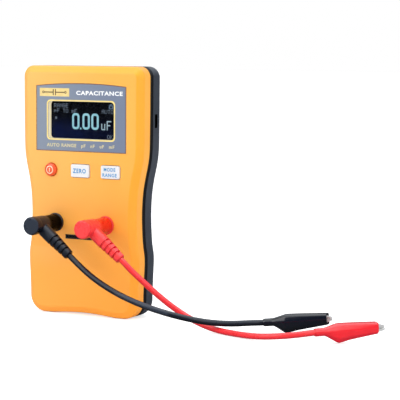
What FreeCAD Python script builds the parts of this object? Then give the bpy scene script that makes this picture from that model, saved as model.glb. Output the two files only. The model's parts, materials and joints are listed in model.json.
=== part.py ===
# Handheld capacitance meter with two crocodile-clip test leads.
# Frame: millimetres, +Z up, the meter stands on its base (Z = 0), X = 0 is the
# symmetry plane of the case, the front face looks along -Y.
import FreeCAD, Part
import math
import os
import Sketcher

Vec = FreeCAD.Vector
Rotation = FreeCAD.Rotation
Placement = FreeCAD.Placement

# ---------------------------------------------------------------- driving dimensions
# The *_y dimensions of the case front, overlay and front board are distances in front
# of Y = 0; those of the case back, main board, cells and socket are behind it.
DIMS = {
    # case; part_front and part_rear are the rims of the two covers, in front of Y = 0
    "case_height": 182.0, "front_y": 15.5, "back_y": 15.5, "part_front": 3.8, "part_rear": -0.9,
    "bevel_deep": 3.5, "bevel_wide": 4.8, "bevel_soft": 3.0, "back_round": 7.6,
    "wall_front": 2.2, "face_inner_y": 13.3, "rear_inner_y": 13.3, "lip_len": 6.3,
    # overlay, window, display
    "panel_hw": 37.95, "panel_low": 120.25, "panel_high": 167.47, "panel_crown": 1.95,
    "panel_thick": 0.45, "window_w": 55.8, "window_height": 27.1, "window_z": 142.79,
    "window_round": 2.6, "bezel_wall": 1.1, "lens_thick": 0.8,
    "display_w": 60.5, "display_height": 37.0, "display_thick": 1.6,
    # keys
    "key_z": 106.3, "power_x": 25.0, "power_dia": 9.4, "range_x": 25.4, "key_w": 15.5,
    "key_height": 9.4, "key_round": 1.3, "key_gap": 0.35, "key_proud": 1.2,
    # jacks
    "jack_x": 21.39, "jack_z": 67.84, "flange_dia": 13.6, "flange_thick": 1.5,
    "neck_dia": 9.9, "sleeve_od": 5.7, "sleeve_id": 4.1,
    # plugs
    "pin_dia": 2.9, "cage_dia": 3.96, "cage_id": 3.0, "arm_y": 37.2, "arm_angle": 38.8,
    "arm_len": 32.6, "head_dia": 13.2, "barrel_dia": 11.9, "arm_dia": 9.7,
    "arm_tip_dia": 7.3, "slot_width": 1.5, "slot_deep": 1.25, "slot_pitch": 3.9,
    # component test slot
    "test_w": 26.0, "test_height": 3.0, "test_z": 57.85,
    # boards
    "board_thick": 1.6, "front_board_y": 8.6, "main_board_y": 1.4,
    # usb
    "usb_y": 5.0, "usb_z": 143.0, "usb_slot_w": 3.6, "usb_slot_height": 9.8,
    # battery
    "cell_dia": 14.2, "cell_len": 49.5, "nub_dia": 5.4, "nub_len": 1.0, "cell_pitch": 14.8,
    "cell_y": 5.45, "door_w": 61.0, "door_height": 55.0, "door_z": 37.0, "door_thick": 1.9,
    # case screws
    "screw_top_x": 42.6, "screw_top_z": 171.9, "screw_low_x": 36.5, "screw_low_z": 14.0,
    "screw_dia": 2.9, "screw_head": 5.6,
    # leads; a tail is the cable end of a clip, yaw and pitch are degrees
    "cable_dia": 4.2, "core_dia": 2.0,
    "clip_len": 46.0, "clip_pivot": 22.5, "clip_width": 5.0, "clip_sheet": 0.7,
    "black_tail_x": 142.96, "black_tail_y": -6.61, "black_tail_z": 6.42,
    "black_yaw": 8.15, "black_pitch": 7.18,
    "red_tail_x": 192.72, "red_tail_y": -31.22, "red_tail_z": 7.90,
    "red_yaw": 43.55, "red_pitch": 2.13,
}


class Expr:
    """A value and the sheet expression that gives it."""

    def __init__(self, value, text):
        self.value = float(value)
        self.text = text

    def __add__(self, other):
        other = expr(other)
        return Expr(self.value + other.value, "(%s + %s)" % (self.text, other.text))

    def __sub__(self, other):
        other = expr(other)
        return Expr(self.value - other.value, "(%s - %s)" % (self.text, other.text))

    def __rsub__(self, other):
        return expr(other) - self

    def __radd__(self, other):
        return expr(other) + self

    def __mul__(self, other):
        other = expr(other)
        return Expr(self.value * other.value, "(%s * %s)" % (self.text, other.text))

    def __truediv__(self, other):
        other = expr(other)
        return Expr(self.value / other.value, "(%s / %s)" % (self.text, other.text))

    def __neg__(self):
        return Expr(-self.value, "(0 - %s)" % self.text)


def expr(value):
    return value if isinstance(value, Expr) else Expr(value, repr(float(value)))


class Dims:
    """The driving dimensions, one attribute each."""


doc = FreeCAD.newDocument("capacitance_meter")
sheet = doc.addObject("Spreadsheet::Sheet", "dims")
dims = Dims()
for row, (name, size) in enumerate(DIMS.items(), start=1):
    sheet.set("A%d" % row, name)
    sheet.set("B%d" % row, str(size))
    sheet.setAlias("B%d" % row, name)
    setattr(dims, name, Expr(size, "dims." + name))
doc.recompute()

# ---------------------------------------------------------------- objects and placement
parts = {}
NO_TURN = Rotation()


def keep(obj, label):
    """Label an object and list it for export; without a label it is only a step."""
    if label:
        obj.Label = label
        parts[label] = obj
    return obj


def bind(obj, prop, value):
    """Set a property, and tie it to the sheet if its value comes from there."""
    value = expr(value)
    if "." not in prop:
        setattr(obj, prop, value.value)
    if "dims." in value.text:
        obj.setExpression(prop, value.text)


def place(obj, prop, x, y, z, rotation=NO_TURN):
    """Set a placement property, its base tied to the sheet."""
    base = [expr(x), expr(y), expr(z)]
    setattr(obj, prop, Placement(Vec(*[part.value for part in base]), rotation))
    for axis, value in zip("xyz", base):
        bind(obj, prop + ".Base." + axis, value)


def new_body(label, export=True):
    body = doc.addObject("PartDesign::Body", "body_" + label)
    if export:
        return keep(body, label)
    body.Label = label
    return body


# ---------------------------------------------------------------- sketches
FRONT = "XZ_Plane"  # sketch x = X, y = Z, normal -Y
TOP = "XY_Plane"  # sketch x = X, y = Y, normal +Z
SIDE = "YZ_Plane"  # sketch x = Y, y = Z, normal +X


def sketch_at(body, plane, x, y, z, rotation=NO_TURN):
    """A sketch on one of the body's origin planes, moved and turned in its axes."""
    sketch = body.newObject("Sketcher::SketchObject", "sketch")
    origin = [item for item in body.Origin.OriginFeatures if item.Role == plane][0]
    sketch.AttachmentSupport = [(origin, "")]
    sketch.MapMode = "FlatFace"
    place(sketch, "AttachmentOffset", x, y, z, rotation)
    return sketch


def new_sketch(body, plane, offset=0.0):
    """A sketch moved only along its plane's normal."""
    return sketch_at(body, plane, 0, 0, offset)


def constrain(sketch, kind, *refs, size=None):
    if size is None:
        sketch.addConstraint(Sketcher.Constraint(kind, *refs))
        return
    size = expr(size)
    index = sketch.addConstraint(Sketcher.Constraint(kind, *refs, size.value))
    if "dims." in size.text:
        sketch.setExpression("Constraints[%d]" % index, size.text)


def fix_point(sketch, curve, end, x, y):
    """Fix a point of a curve at x, y, which may be negative."""
    for kind, size in (("DistanceX", expr(x)), ("DistanceY", expr(y))):
        if size.value >= 0:
            constrain(sketch, kind, -1, 1, curve, end, size=size)
        else:
            constrain(sketch, kind, curve, end, -1, 1, size=-size)


def segment(start, end):
    ends = [Vec(expr(x).value, expr(y).value, 0) for x, y in (start, end)]
    return Part.LineSegment(*ends)


def quarter_arc(x, y, radius, start):
    """A quarter circle, anticlockwise from start degrees."""
    whole = Part.Circle(Vec(x, y, 0), Vec(0, 0, 1), radius)
    return Part.ArcOfCircle(whole, math.radians(start), math.radians(start + 90))


def closed_lines(sketch, corners):
    ahead = corners[1:] + corners[:1]
    lines = [sketch.addGeometry(segment(*ends), False) for ends in zip(corners, ahead)]
    for line, following in zip(lines, lines[1:] + lines[:1]):
        constrain(sketch, "Coincident", line, 2, following, 1)
    return lines


# Each drawing function gives back its sketch.
def circle(sketch, x, y, radius):
    x, y, radius = expr(x), expr(y), expr(radius)
    whole = Part.Circle(Vec(x.value, y.value, 0), Vec(0, 0, 1), radius.value)
    curve = sketch.addGeometry(whole, False)
    constrain(sketch, "Radius", curve, size=radius)
    fix_point(sketch, curve, 3, x, y)
    return sketch


def circles(sketch, places, radius):
    for x, y in places:
        circle(sketch, x, y, radius)
    return sketch


def rect(sketch, x, y, width, height, radius=None):
    """A rectangle on its centre, with rounded corners if a radius is given."""
    x, y, width, height = expr(x), expr(y), expr(width), expr(height)
    x0, x1 = x - width / 2, x + width / 2
    y0, y1 = y - height / 2, y + height / 2
    if radius is None:
        lines = closed_lines(sketch, [(x0, y0), (x1, y0), (x1, y1), (x0, y1)])
        for line, kind in zip(lines, ("Horizontal", "Vertical") * 2):
            constrain(sketch, kind, line)
        fix_point(sketch, lines[0], 1, x0, y0)
        fix_point(sketch, lines[1], 2, x1, y1)
        return sketch
    radius = expr(radius)
    in_x0, in_x1, in_y0, in_y1 = x0 + radius, x1 - radius, y0 + radius, y1 - radius
    lines = [sketch.addGeometry(segment(*ends), False) for ends in (
        ((in_x0, y0), (in_x1, y0)), ((x1, in_y0), (x1, in_y1)),
        ((in_x1, y1), (in_x0, y1)), ((x0, in_y1), (x0, in_y0)))]
    centres = [(in_x1, in_y0, -90), (in_x1, in_y1, 0), (in_x0, in_y1, 90), (in_x0, in_y0, 180)]
    arcs = [sketch.addGeometry(quarter_arc(cx.value, cy.value, radius.value, start), False)
            for cx, cy, start in centres]
    for i in range(4):
        constrain(sketch, "Tangent", lines[i], 2, arcs[i], 1)
        constrain(sketch, "Tangent", arcs[i], 2, lines[(i + 1) % 4], 1)
    constrain(sketch, "Horizontal", lines[0])
    constrain(sketch, "Vertical", lines[1])
    for arc in arcs[1:]:
        constrain(sketch, "Equal", arcs[0], arc)
    constrain(sketch, "Radius", arcs[0], size=radius)
    fix_point(sketch, arcs[0], 3, in_x1, in_y0)
    fix_point(sketch, arcs[2], 3, in_x0, in_y1)
    return sketch


def polygon(sketch, corners):
    """A closed polygon whose corners are tied to the origin."""
    lines = closed_lines(sketch, corners)
    for line, (x, y) in zip(lines, corners):
        fix_point(sketch, line, 1, x, y)
    return sketch


# ---------------------------------------------------------------- body features
def feature(body, kind, profile, flags):
    made = body.newObject("PartDesign::" + kind, kind.lower())
    made.Profile = profile
    for flag, state in flags.items():
        setattr(made, flag, state)
    body.Tip = made
    return made


def pad(body, sketch, length, **flags):
    """A pad along the sketch's normal, or against it when Reversed."""
    bind(feature(body, "Pad", sketch, flags), "Length", length)


def pocket(body, sketch, length, **flags):
    """A pocket against the sketch's normal, or along it when Reversed; it has to cut."""
    doc.recompute()
    before = body.Shape.Volume
    bind(feature(body, "Pocket", sketch, flags), "Length", length)
    doc.recompute()
    if not body.Shape.Volume < before - 1e-3:
        raise SystemExit("pocket cut nothing in " + body.Label)


def revolve(body, sketch, axis="V_Axis", kind="Revolution", angle=360.0, **flags):
    made = feature(body, kind, sketch, {})
    made.ReferenceAxis = (sketch, [axis])
    made.Angle = angle
    for flag, state in flags.items():
        setattr(made, flag, state)


def edges_at_y(shape, y):
    """Names of the edges that lie wholly in the plane at y."""
    return ["Edge%d" % i for i, edge in enumerate(shape.Edges, start=1)
            if abs(edge.BoundBox.YMin - y) < 1e-3 and abs(edge.BoundBox.YMax - y) < 1e-3]


def fillet_at_y(body, y, radius):
    doc.recompute()
    base = body.Tip
    made = body.newObject("PartDesign::Fillet", "fillet")
    made.Base = (base, edges_at_y(base.Shape, expr(y).value))
    bind(made, "Radius", radius)
    body.Tip = made
    doc.recompute()


# ---------------------------------------------------------------- plain solids
TURNS = {"z": NO_TURN, "y": Rotation(Vec(1, 0, 0), -90), "x": Rotation(Vec(0, 1, 0), 90)}


def box(x, y, z, dx, dy, dz, label=None):
    """A box on its lowest corner."""
    obj = doc.addObject("Part::Box", "box")
    for prop, size in (("Length", dx), ("Width", dy), ("Height", dz)):
        bind(obj, prop, size)
    place(obj, "Placement", x, y, z)
    return keep(obj, label)


def cylinder(x, y, z, radius, length, along="z", label=None):
    """A cylinder from the centre of its lower end."""
    obj = doc.addObject("Part::Cylinder", "cylinder")
    bind(obj, "Radius", radius)
    bind(obj, "Height", length)
    place(obj, "Placement", x, y, z, TURNS[along])
    return keep(obj, label)


def cut(base, tool, label=None):
    obj = doc.addObject("Part::Cut", "cut")
    obj.Base = base
    obj.Tool = tool
    return keep(obj, label)


def fuse(items, label=None):
    obj = doc.addObject("Part::MultiFuse", "fuse")
    obj.Shapes = items
    return keep(obj, label)


def group(items, label):
    """Separate pieces of one kind, exported together."""
    obj = doc.addObject("Part::Compound", "group")
    obj.Links = items
    return keep(obj, label)


# ---------------------------------------------------------------- case outline
# (height, half width): broad head, pinched waist, flared hip, slightly tapered foot
CASE_SIDE = [
    (174, 51.2), (160, 51.15), (146, 51.1), (134, 51.0), (126, 50.9), (120, 50.65),
    (114, 49.95), (108, 48.75), (102, 47.4), (96, 46.25), (90, 45.45), (84, 44.95),
    (76, 44.65), (68, 44.75), (60, 45.15), (53, 45.75), (48, 46.55), (44, 47.05),
    (40, 47.05), (34, 46.8), (26, 46.4), (19, 46.15), (12.5, 46.0)]
HEAD_HALF, FOOT_HALF = CASE_SIDE[0][1], CASE_SIDE[-1][1]
HEAD_ROUND, FOOT_ROUND, LEAST_ROUND = 8.0, 12.5, 1.2
# (x, height) of the shallow arch under the foot, from its end to the middle
FOOT_ARCH = [(28, 0), (24, 0.25), (16, 1.0), (8, 1.52), (0, 1.7)]
ARCH_END = FOOT_ARCH[0][0]
SIDE_STEPS = 24


def spline(points, start_way, end_way):
    curve = Part.BSplineCurve()
    curve.interpolate(Points=[Vec(x, y, 0) for x, y in points],
                      InitialTangent=Vec(*start_way, 0), FinalTangent=Vec(*end_way, 0))
    return curve


DOWN = (0, -1)
SIDE_CURVE = spline([(x, z) for z, x in CASE_SIDE], DOWN, DOWN)


def draw_outline(sketch, inset):
    """The case outline, moved in by inset."""
    height = dims.case_height.value
    first, last = SIDE_CURVE.FirstParameter, SIDE_CURVE.LastParameter
    side = []
    for i in range(SIDE_STEPS + 1):
        at = first + (last - first) * i / SIDE_STEPS
        point, along = SIDE_CURVE.value(at), SIDE_CURVE.tangent(at)[0]
        side.append((point.x + along.y * inset, point.y - along.x * inset))
    head_r = max(HEAD_ROUND - inset, LEAST_ROUND)
    foot_r = max(FOOT_ROUND - inset, LEAST_ROUND)
    head_x, head_z = HEAD_HALF - inset - head_r, height - inset - head_r
    foot_x, foot_z = FOOT_HALF - inset - foot_r, inset + foot_r
    side[0] = (HEAD_HALF - inset, head_z)
    side[-1] = (FOOT_HALF - inset, foot_z)
    arch = [(x, z + inset) for x, z in FOOT_ARCH]
    arch += [(-x, z) for x, z in arch[-2::-1]]
    for curve in (
            spline(side, DOWN, DOWN),
            quarter_arc(foot_x, foot_z, foot_r, -90),
            segment((foot_x, inset), (ARCH_END, inset)),
            spline(arch, (-1, 0), (-1, 0)),
            segment((-ARCH_END, inset), (-foot_x, inset)),
            quarter_arc(-foot_x, foot_z, foot_r, 180),
            spline([(-x, z) for x, z in side], DOWN, DOWN),
            quarter_arc(-head_x, head_z, head_r, 90),
            segment((-head_x, height - inset), (head_x, height - inset)),
            quarter_arc(head_x, head_z, head_r, 0)):
        sketch.addGeometry(curve, False)


def outlines(body, offset, *insets):
    """A front-plane sketch with one case outline for each inset."""
    sketch = new_sketch(body, FRONT, offset)
    for inset in insets:
        draw_outline(sketch, inset)
    return sketch


# ---------------------------------------------------------------- shared places
def both_sides(*places):
    return [(x, z) for right, z in places for x in (right, -right)]


CASE_SCREWS = both_sides((dims.screw_top_x, dims.screw_top_z),
                         (dims.screw_low_x, dims.screw_low_z))
FRONT_POSTS = both_sides((34.6, 163.5), (34.6, 97.6))
MAIN_POSTS = both_sides((40.0, 158.0), (34.5, 82.0))
JACKS = {"black": -dims.jack_x, "red": dims.jack_x}
KEYS = {"power": -dims.power_x, "zero": expr(0), "range": dims.range_x}

BOSS_END = 4.2  # front cover screw bosses end this far in front of Y = 0
SCREW_SEAT = 4.0  # case screw heads sit this far behind Y = 0
TRAY_Z, TRAY_INNER_W, TRAY_FLOOR = 35.85, 60.2, 1.8
MAIN_BOARD_BACK = dims.main_board_y + dims.board_thick
WINDOW_LINING = dims.bezel_wall * 2

# Ten places across X shared by the test socket and the board header
PIN_PITCH, PIN_COUNT = 2.54, 10
PIN_XS = [PIN_PITCH * (i - (PIN_COUNT - 1) / 2) for i in range(PIN_COUNT)]


def window_rect(sketch, grow, radius):
    """The window outline, grow larger in width and height."""
    return rect(sketch, 0, dims.window_z, dims.window_w + grow, dims.window_height + grow,
                radius)


def key_rect(sketch, x, margin, radius):
    """The outline of a rectangular key, with a margin all round."""
    margin = expr(margin)
    return rect(sketch, x, dims.key_z, dims.key_w + margin * 2, dims.key_height + margin * 2,
                radius)


def panel_outline(sketch, grow):
    """The overlay outline, its upper edge crowned."""
    half = (dims.panel_hw + grow).value
    low, high = (dims.panel_low - grow).value, (dims.panel_high + grow).value
    left = sketch.addGeometry(segment((-half, high), (-half, low)), False)
    lower = sketch.addGeometry(segment((-half, low), (half, low)), False)
    right = sketch.addGeometry(segment((half, low), (half, high)), False)
    middle = Vec(0, high + dims.panel_crown.value, 0)
    crown = sketch.addGeometry(Part.Arc(Vec(half, high, 0), middle, Vec(-half, high, 0)), False)
    constrain(sketch, "Coincident", left, 2, lower, 1)
    constrain(sketch, "Coincident", lower, 2, right, 1)
    constrain(sketch, "Vertical", left)
    constrain(sketch, "Horizontal", lower)
    constrain(sketch, "Vertical", right)
    constrain(sketch, "Coincident", right, 2, crown, 1)
    constrain(sketch, "Coincident", crown, 2, left, 1)
    fix_point(sketch, lower, 1, -(dims.panel_hw + grow), dims.panel_low - grow)
    constrain(sketch, "DistanceX", lower, 1, lower, 2, size=dims.panel_hw * 2 + 2 * grow)
    constrain(sketch, "DistanceY", right, 1, right, 2,
              size=dims.panel_high - dims.panel_low + 2 * grow)
    constrain(sketch, "Equal", left, right)
    return sketch


# ---------------------------------------------------------------- case
def front_cover():
    body = new_body("front_cover")
    pad(body, outlines(body, dims.part_front, 0), dims.front_y - dims.part_front)
    doc.recompute()
    block = body.Tip
    bevel = body.newObject("PartDesign::Chamfer", "face_bevel")
    bevel.Base = (block, edges_at_y(block.Shape, -dims.front_y.value))
    bevel.ChamferType = "Two distances"
    bind(bevel, "Size", dims.bevel_deep)
    bind(bevel, "Size2", dims.bevel_wide)
    body.Tip = bevel
    fillet_at_y(body, -dims.front_y, dims.bevel_soft)
    fillet_at_y(body, dims.bevel_deep - dims.front_y, dims.bevel_soft)
    # hollow, narrower behind the bevel
    pocket(body, outlines(body, dims.part_front, dims.wall_front.value), 7.8, Reversed=True)
    pocket(body, outlines(body, dims.part_front, 6.2), dims.face_inner_y - dims.part_front,
           Reversed=True)
    # recess that takes the overlay
    pocket(body, panel_outline(new_sketch(body, FRONT, dims.front_y), 0.25),
           dims.panel_thick + 0.05)
    # window, key holes, jack holes and test slot, all through the face
    sketch = new_sketch(body, FRONT, dims.front_y)
    window_rect(sketch, WINDOW_LINING + 0.2, dims.window_round + 1.0)
    circle(sketch, KEYS["power"], dims.key_z, dims.power_dia / 2 + dims.key_gap)
    for key in ("zero", "range"):
        key_rect(sketch, KEYS[key], dims.key_gap, dims.key_round + dims.key_gap)
    for jack_x in JACKS.values():
        circle(sketch, jack_x, dims.jack_z, dims.neck_dia / 2 + 0.1)
    rect(sketch, 0, dims.test_z, dims.test_w + 0.3, dims.test_height + 0.3)
    pocket(body, sketch, 4.0)
    # screw bosses and board posts inside, then their pilot holes
    pad(body, circles(new_sketch(body, FRONT, BOSS_END), CASE_SCREWS, 3.3), 9.2)
    pad(body, circles(new_sketch(body, FRONT, dims.front_board_y), FRONT_POSTS, 2.2),
        dims.face_inner_y - dims.front_board_y + 0.2)
    pilots = circles(new_sketch(body, FRONT, BOSS_END), CASE_SCREWS, dims.screw_dia / 2 + 0.05)
    pocket(body, pilots, 8.0, Reversed=True)
    pilots = circles(new_sketch(body, FRONT, dims.front_board_y), FRONT_POSTS, 1.05)
    pocket(body, pilots, 4.0, Reversed=True)


def rear_cover():
    body = new_body("rear_cover")
    pad(body, outlines(body, dims.part_rear, 0), dims.back_y + dims.part_rear, Reversed=True)
    fillet_at_y(body, dims.back_y, dims.back_round)
    # hollow, narrower towards the rounded back
    pocket(body, outlines(body, dims.part_rear, 3.4), 8.5 + dims.part_rear)
    pocket(body, outlines(body, dims.part_rear, 5.4), dims.part_rear + dims.rear_inner_y)
    # tongue that enters the front cover
    pad(body, outlines(body, dims.part_rear, 2.35, 3.4), dims.lip_len)
    # screw tubes and board posts
    pad(body, circles(new_sketch(body, FRONT, 4.0), CASE_SCREWS, 4.2),
        4.0 + dims.rear_inner_y + 0.2, Reversed=True)
    pad(body, circles(new_sketch(body, FRONT, -MAIN_BOARD_BACK), MAIN_POSTS, 2.6),
        dims.rear_inner_y - dims.main_board_y - dims.board_thick + 0.2, Reversed=True)
    # battery tray: a block, hollowed from behind, with the door's recess around it
    pad(body, rect(new_sketch(body, FRONT, 3.0), 0, TRAY_Z, 62.8, 56.7),
        3.0 + dims.rear_inner_y + 0.2, Reversed=True)
    pocket(body, rect(new_sketch(body, FRONT, -dims.back_y - 0.5), 0, 36.5, TRAY_INNER_W, 53.0),
           dims.back_y + 0.5 + TRAY_FLOOR, Reversed=True)
    pocket(body, rect(new_sketch(body, FRONT, -dims.rear_inner_y), 0, TRAY_Z, TRAY_INNER_W, 54.3),
           dims.rear_inner_y + TRAY_FLOOR, Reversed=True)
    pocket(body, rect(new_sketch(body, FRONT, -dims.back_y), 0, dims.door_z, dims.door_w + 0.6,
                      dims.door_height + 0.6, 2.3), dims.door_thick + 0.1, Reversed=True)
    # counterbored screw holes from the back, pilot holes in the posts
    pocket(body, circles(new_sketch(body, FRONT, -dims.back_y), CASE_SCREWS, 3.2),
           dims.back_y - SCREW_SEAT, Reversed=True)
    pocket(body, circles(new_sketch(body, FRONT, -dims.back_y), CASE_SCREWS, 1.65),
           dims.back_y + 4.2, Reversed=True)
    pocket(body, circles(new_sketch(body, FRONT, -MAIN_BOARD_BACK), MAIN_POSTS, 1.15), 7.0)
    # socket opening in the wall on the +X side
    pocket(body, rect(new_sketch(body, SIDE, 52.0), dims.usb_y, dims.usb_z, dims.usb_slot_w,
                      dims.usb_slot_height, 1.2), 6.0)


def seal_band():
    """Soft ring between the rims of the two covers, just short of their walls."""
    gap = 0.02
    body = new_body("seal_band")
    pad(body, outlines(body, dims.part_rear + gap, 0.35, 2.3),
        dims.part_front - dims.part_rear - 2 * gap)


def battery_door():
    body = new_body("battery_door")
    pad(body, rect(new_sketch(body, FRONT, -dims.back_y), 0, dims.door_z, dims.door_w,
                   dims.door_height, 2.0), dims.door_thick)
    # finger grip: five shallow grooves near the upper edge
    sketch = new_sketch(body, FRONT, -dims.back_y)
    for i in range(5):
        rect(sketch, 0, 57.5 - 2.2 * i, 18.0 - 1.6 * i, 1.0)
    pocket(body, sketch, 0.7, Reversed=True)


def screw(x, z, seat_y, head_dia, head_len, shank_dia, shank_len, forward=True):
    """A cross-slotted screw along Y; forward drives it towards the front."""
    overlap = 0.3  # of the shank into the head
    if forward:
        slot = 0.7
        head_y, shank_y, slot_y = seat_y, seat_y - shank_len, seat_y + head_len - 0.6
    else:
        slot = 0.5
        head_y, shank_y, slot_y = seat_y - head_len, seat_y - overlap, seat_y - head_len - 0.1
    head = cylinder(x, head_y, z, head_dia / 2, head_len, "y")
    shank = cylinder(x, shank_y, z, shank_dia / 2, shank_len + overlap, "y")
    reach = head_dia * 0.7
    level = box(x - reach / 2, slot_y, z - slot / 2, reach, slot, slot)
    upright = box(x - slot / 2, slot_y, z - reach / 2, slot, slot, reach)
    return cut(fuse([head, shank]), fuse([level, upright]))


def screws():
    group([screw(x, z, SCREW_SEAT, dims.screw_head, 2.2, dims.screw_dia, 15.0)
           for x, z in CASE_SCREWS], "case_screws")
    front = [screw(x, z, -7.0, 3.6, 1.3, 2.0, 5.2) for x, z in FRONT_POSTS]
    main = [screw(x, z, 1.4, 4.0, 1.4, 2.2, 8.2, forward=False) for x, z in MAIN_POSTS]
    group(front + main, "board_screws")


# ---------------------------------------------------------------- display
def overlay_panel():
    body = new_body("overlay_panel")
    pad(body, panel_outline(new_sketch(body, FRONT, dims.front_y - dims.panel_thick), 0),
        dims.panel_thick)
    pocket(body, window_rect(new_sketch(body, FRONT, dims.front_y), 0, dims.window_round), 2.0)


def display_bezel():
    """Lines the window and carries the lens behind its flange."""
    flange_back, gap = 11.2, 0.02
    body = new_body("display_bezel")
    pad(body, window_rect(new_sketch(body, FRONT, dims.face_inner_y), WINDOW_LINING,
                          dims.window_round + 1.0),
        dims.front_y - dims.panel_thick - dims.face_inner_y - gap)
    pad(body, window_rect(new_sketch(body, FRONT, flange_back), 6.6, 2.0),
        dims.face_inner_y - flange_back - gap)
    pocket(body, window_rect(new_sketch(body, FRONT, 15.2), 0, dims.window_round), 4.5)


def display_lens():
    body = new_body("display_lens")
    pad(body, window_rect(new_sketch(body, FRONT, 10.38), 5.4, 1.5), dims.lens_thick)


def display_module():
    back = 8.7
    body = new_body("display_module")
    pad(body, rect(new_sketch(body, FRONT, back), 0, dims.window_z, dims.display_w,
                   dims.display_height), dims.display_thick)
    fillet_at_y(body, -back, 0.25)


# (y, z) round the bent ribbon
RIBBON = [
    (-9.5, 124.2), (-9.5, 121.2), (-9.1, 119.4), (-8.62, 118.4), (-8.62, 113.4),
    (-8.82, 113.4), (-8.82, 118.45), (-9.3, 119.45), (-9.7, 121.25), (-9.7, 124.2)]


def display_ribbon():
    width = 16.0
    body = new_body("display_ribbon")
    pad(body, polygon(new_sketch(body, SIDE, -width / 2), RIBBON), width)


# ---------------------------------------------------------------- keys
# Each key stands proud of the face; a flange holds it behind.
KEY_FLANGE_BACK, KEY_FLANGE_THICK = 12.5, 0.7
KEY_TOP_BACK = 12.8  # where the key's own outline starts, inside the flange


def key_cap(label, x):
    body = new_body(label)
    pad(body, key_rect(new_sketch(body, FRONT, KEY_FLANGE_BACK), x, 1.2, dims.key_round + 1.0),
        KEY_FLANGE_THICK)
    pad(body, key_rect(new_sketch(body, FRONT, KEY_TOP_BACK), x, 0, dims.key_round),
        dims.front_y + dims.key_proud - KEY_TOP_BACK)
    fillet_at_y(body, -(dims.front_y + dims.key_proud), 0.55)


def power_button():
    """A round key topped with a low dome."""
    radius = dims.power_dia.value / 2
    overlap = 0.2  # of the dome into the stem
    # (distance in from the edge, y) of the dome, short of its top
    rise = [(0, 0), (0.35, -0.55), (1.3, -1.02), (2.9, -1.28)]
    top = (0, -1.4)
    body = new_body("power_button")
    pad(body, circle(new_sketch(body, FRONT, KEY_FLANGE_BACK), KEYS["power"], dims.key_z,
                     dims.power_dia / 2 + 1.0), KEY_FLANGE_THICK)
    pad(body, circle(new_sketch(body, FRONT, KEY_TOP_BACK), KEYS["power"], dims.key_z,
                     dims.power_dia / 2), dims.front_y - KEY_TOP_BACK + 1.5)
    sketch = sketch_at(body, TOP, KEYS["power"], -17.0, dims.key_z)
    for curve in (segment((0, overlap), (radius, overlap)),
                  segment((radius, overlap), (radius, 0)),
                  spline([(radius - inward, y) for inward, y in rise] + [top], DOWN, (-1, 0)),
                  segment(top, (0, overlap))):
        sketch.addGeometry(curve, False)
    revolve(body, sketch)


def key_switches():
    switches = []
    for name, x in KEYS.items():
        case = box(x - 3.0, -11.7, dims.key_z - 3.0, 6.0, 3.1, 6.0)
        switches.append(cut(case, cylinder(x, -12.0, dims.key_z, 1.65, 2.0, "y")))
        cylinder(x, -12.48, dims.key_z, 1.6, 1.3, "y", name + "_plunger")
    group(switches, "key_switches")


# ---------------------------------------------------------------- jacks
def jack_axis_sketch(body, x):
    """A sketch whose y axis is the jack axis; its y is the global Y."""
    return sketch_at(body, TOP, x, 0, dims.jack_z)


def turned(label, x, profile, export=True):
    """A piece turned about the jack axis at x. profile: (radius, y) corners."""
    body = new_body(label, export)
    sketch = polygon(jack_axis_sketch(body, x), profile)
    revolve(body, sketch)
    return body


def jack_nut(label, x):
    corner_radius = 7.4
    body = new_body(label, export=False)
    sketch = new_sketch(body, FRONT, 10.8)
    turns = [math.radians(60 * i) for i in range(6)]
    polygon(sketch, [(x + corner_radius * math.cos(turn),
                      dims.jack_z + corner_radius * math.sin(turn)) for turn in turns])
    circle(sketch, x, dims.jack_z, dims.neck_dia / 2 + 0.03)
    pad(body, sketch, 2.45)
    return body


def jacks():
    flange, neck = dims.flange_dia / 2, dims.neck_dia / 2
    outer, inner = dims.sleeve_od / 2, dims.sleeve_id / 2
    bore = outer + 0.02
    flange_front = -(dims.front_y + dims.flange_thick)
    flange_back = -(dims.front_y + 0.02)
    contacts = []
    nuts = []
    for colour, x in JACKS.items():
        turned(colour + "_jack", x, [
            (2.45, flange_front), (flange - 0.4, flange_front), (flange, flange_front + 0.4),
            (flange, flange_back), (neck, flange_back), (neck, -6.5), (bore, -6.5),
            (bore, -16.3), (2.45, -16.3)])
        contacts.append(turned(colour + "_jack_contact", x, [
            (inner, -16.25), (outer, -16.25), (outer, 1.3), (0.8, 1.3), (0.8, 3.9), (0, 3.9),
            (0, 0.85), (inner, 0.85)], export=False))
        nuts.append(jack_nut(colour + "_jack_nut", x))
    group(contacts, "jack_contacts")
    group(nuts, "jack_nuts")


# ---------------------------------------------------------------- test socket
def test_socket():
    back, front = 6.0, 15.35
    body = new_body("test_socket")
    pad(body, rect(new_sketch(body, FRONT, back), 0, dims.test_z, dims.test_w,
                   dims.test_height), front - back)
    sketch = new_sketch(body, FRONT, front)
    for x in PIN_XS:
        rect(sketch, x, dims.test_z, 1.5, 1.3)
    pocket(body, sketch, 8.0)
    group([box(x - 0.7, -12.5, dims.test_z - 0.55, 0.25, 5.1, 1.1) for x in PIN_XS],
          "test_socket_contacts")
    holes = fuse([cylinder(x, -6.5, 57.8, 0.6, 3, "y") for x in (-14, 14)])
    cut(box(-16, -5.98, 52.5, 32, 1.6, 9.8), holes, "test_socket_board")


# ---------------------------------------------------------------- boards
def front_board():
    body = new_body("front_board")
    pad(body, rect(new_sketch(body, FRONT, dims.front_board_y - dims.board_thick),
                   0, 131.3, 76.0, 72.6, 1.5), dims.board_thick)
    pocket(body, circles(new_sketch(body, FRONT, dims.front_board_y), FRONT_POSTS, 1.1), 3.0)


# (x, z) down the +X half of the main board's outline, from its lower corner up
MAIN_BOARD_HALF = [(39.5, 65.4), (39.5, 104), (46.3, 118), (46.3, 166.2), (37.6, 166.2),
                   (37.6, 174.5)]


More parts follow.
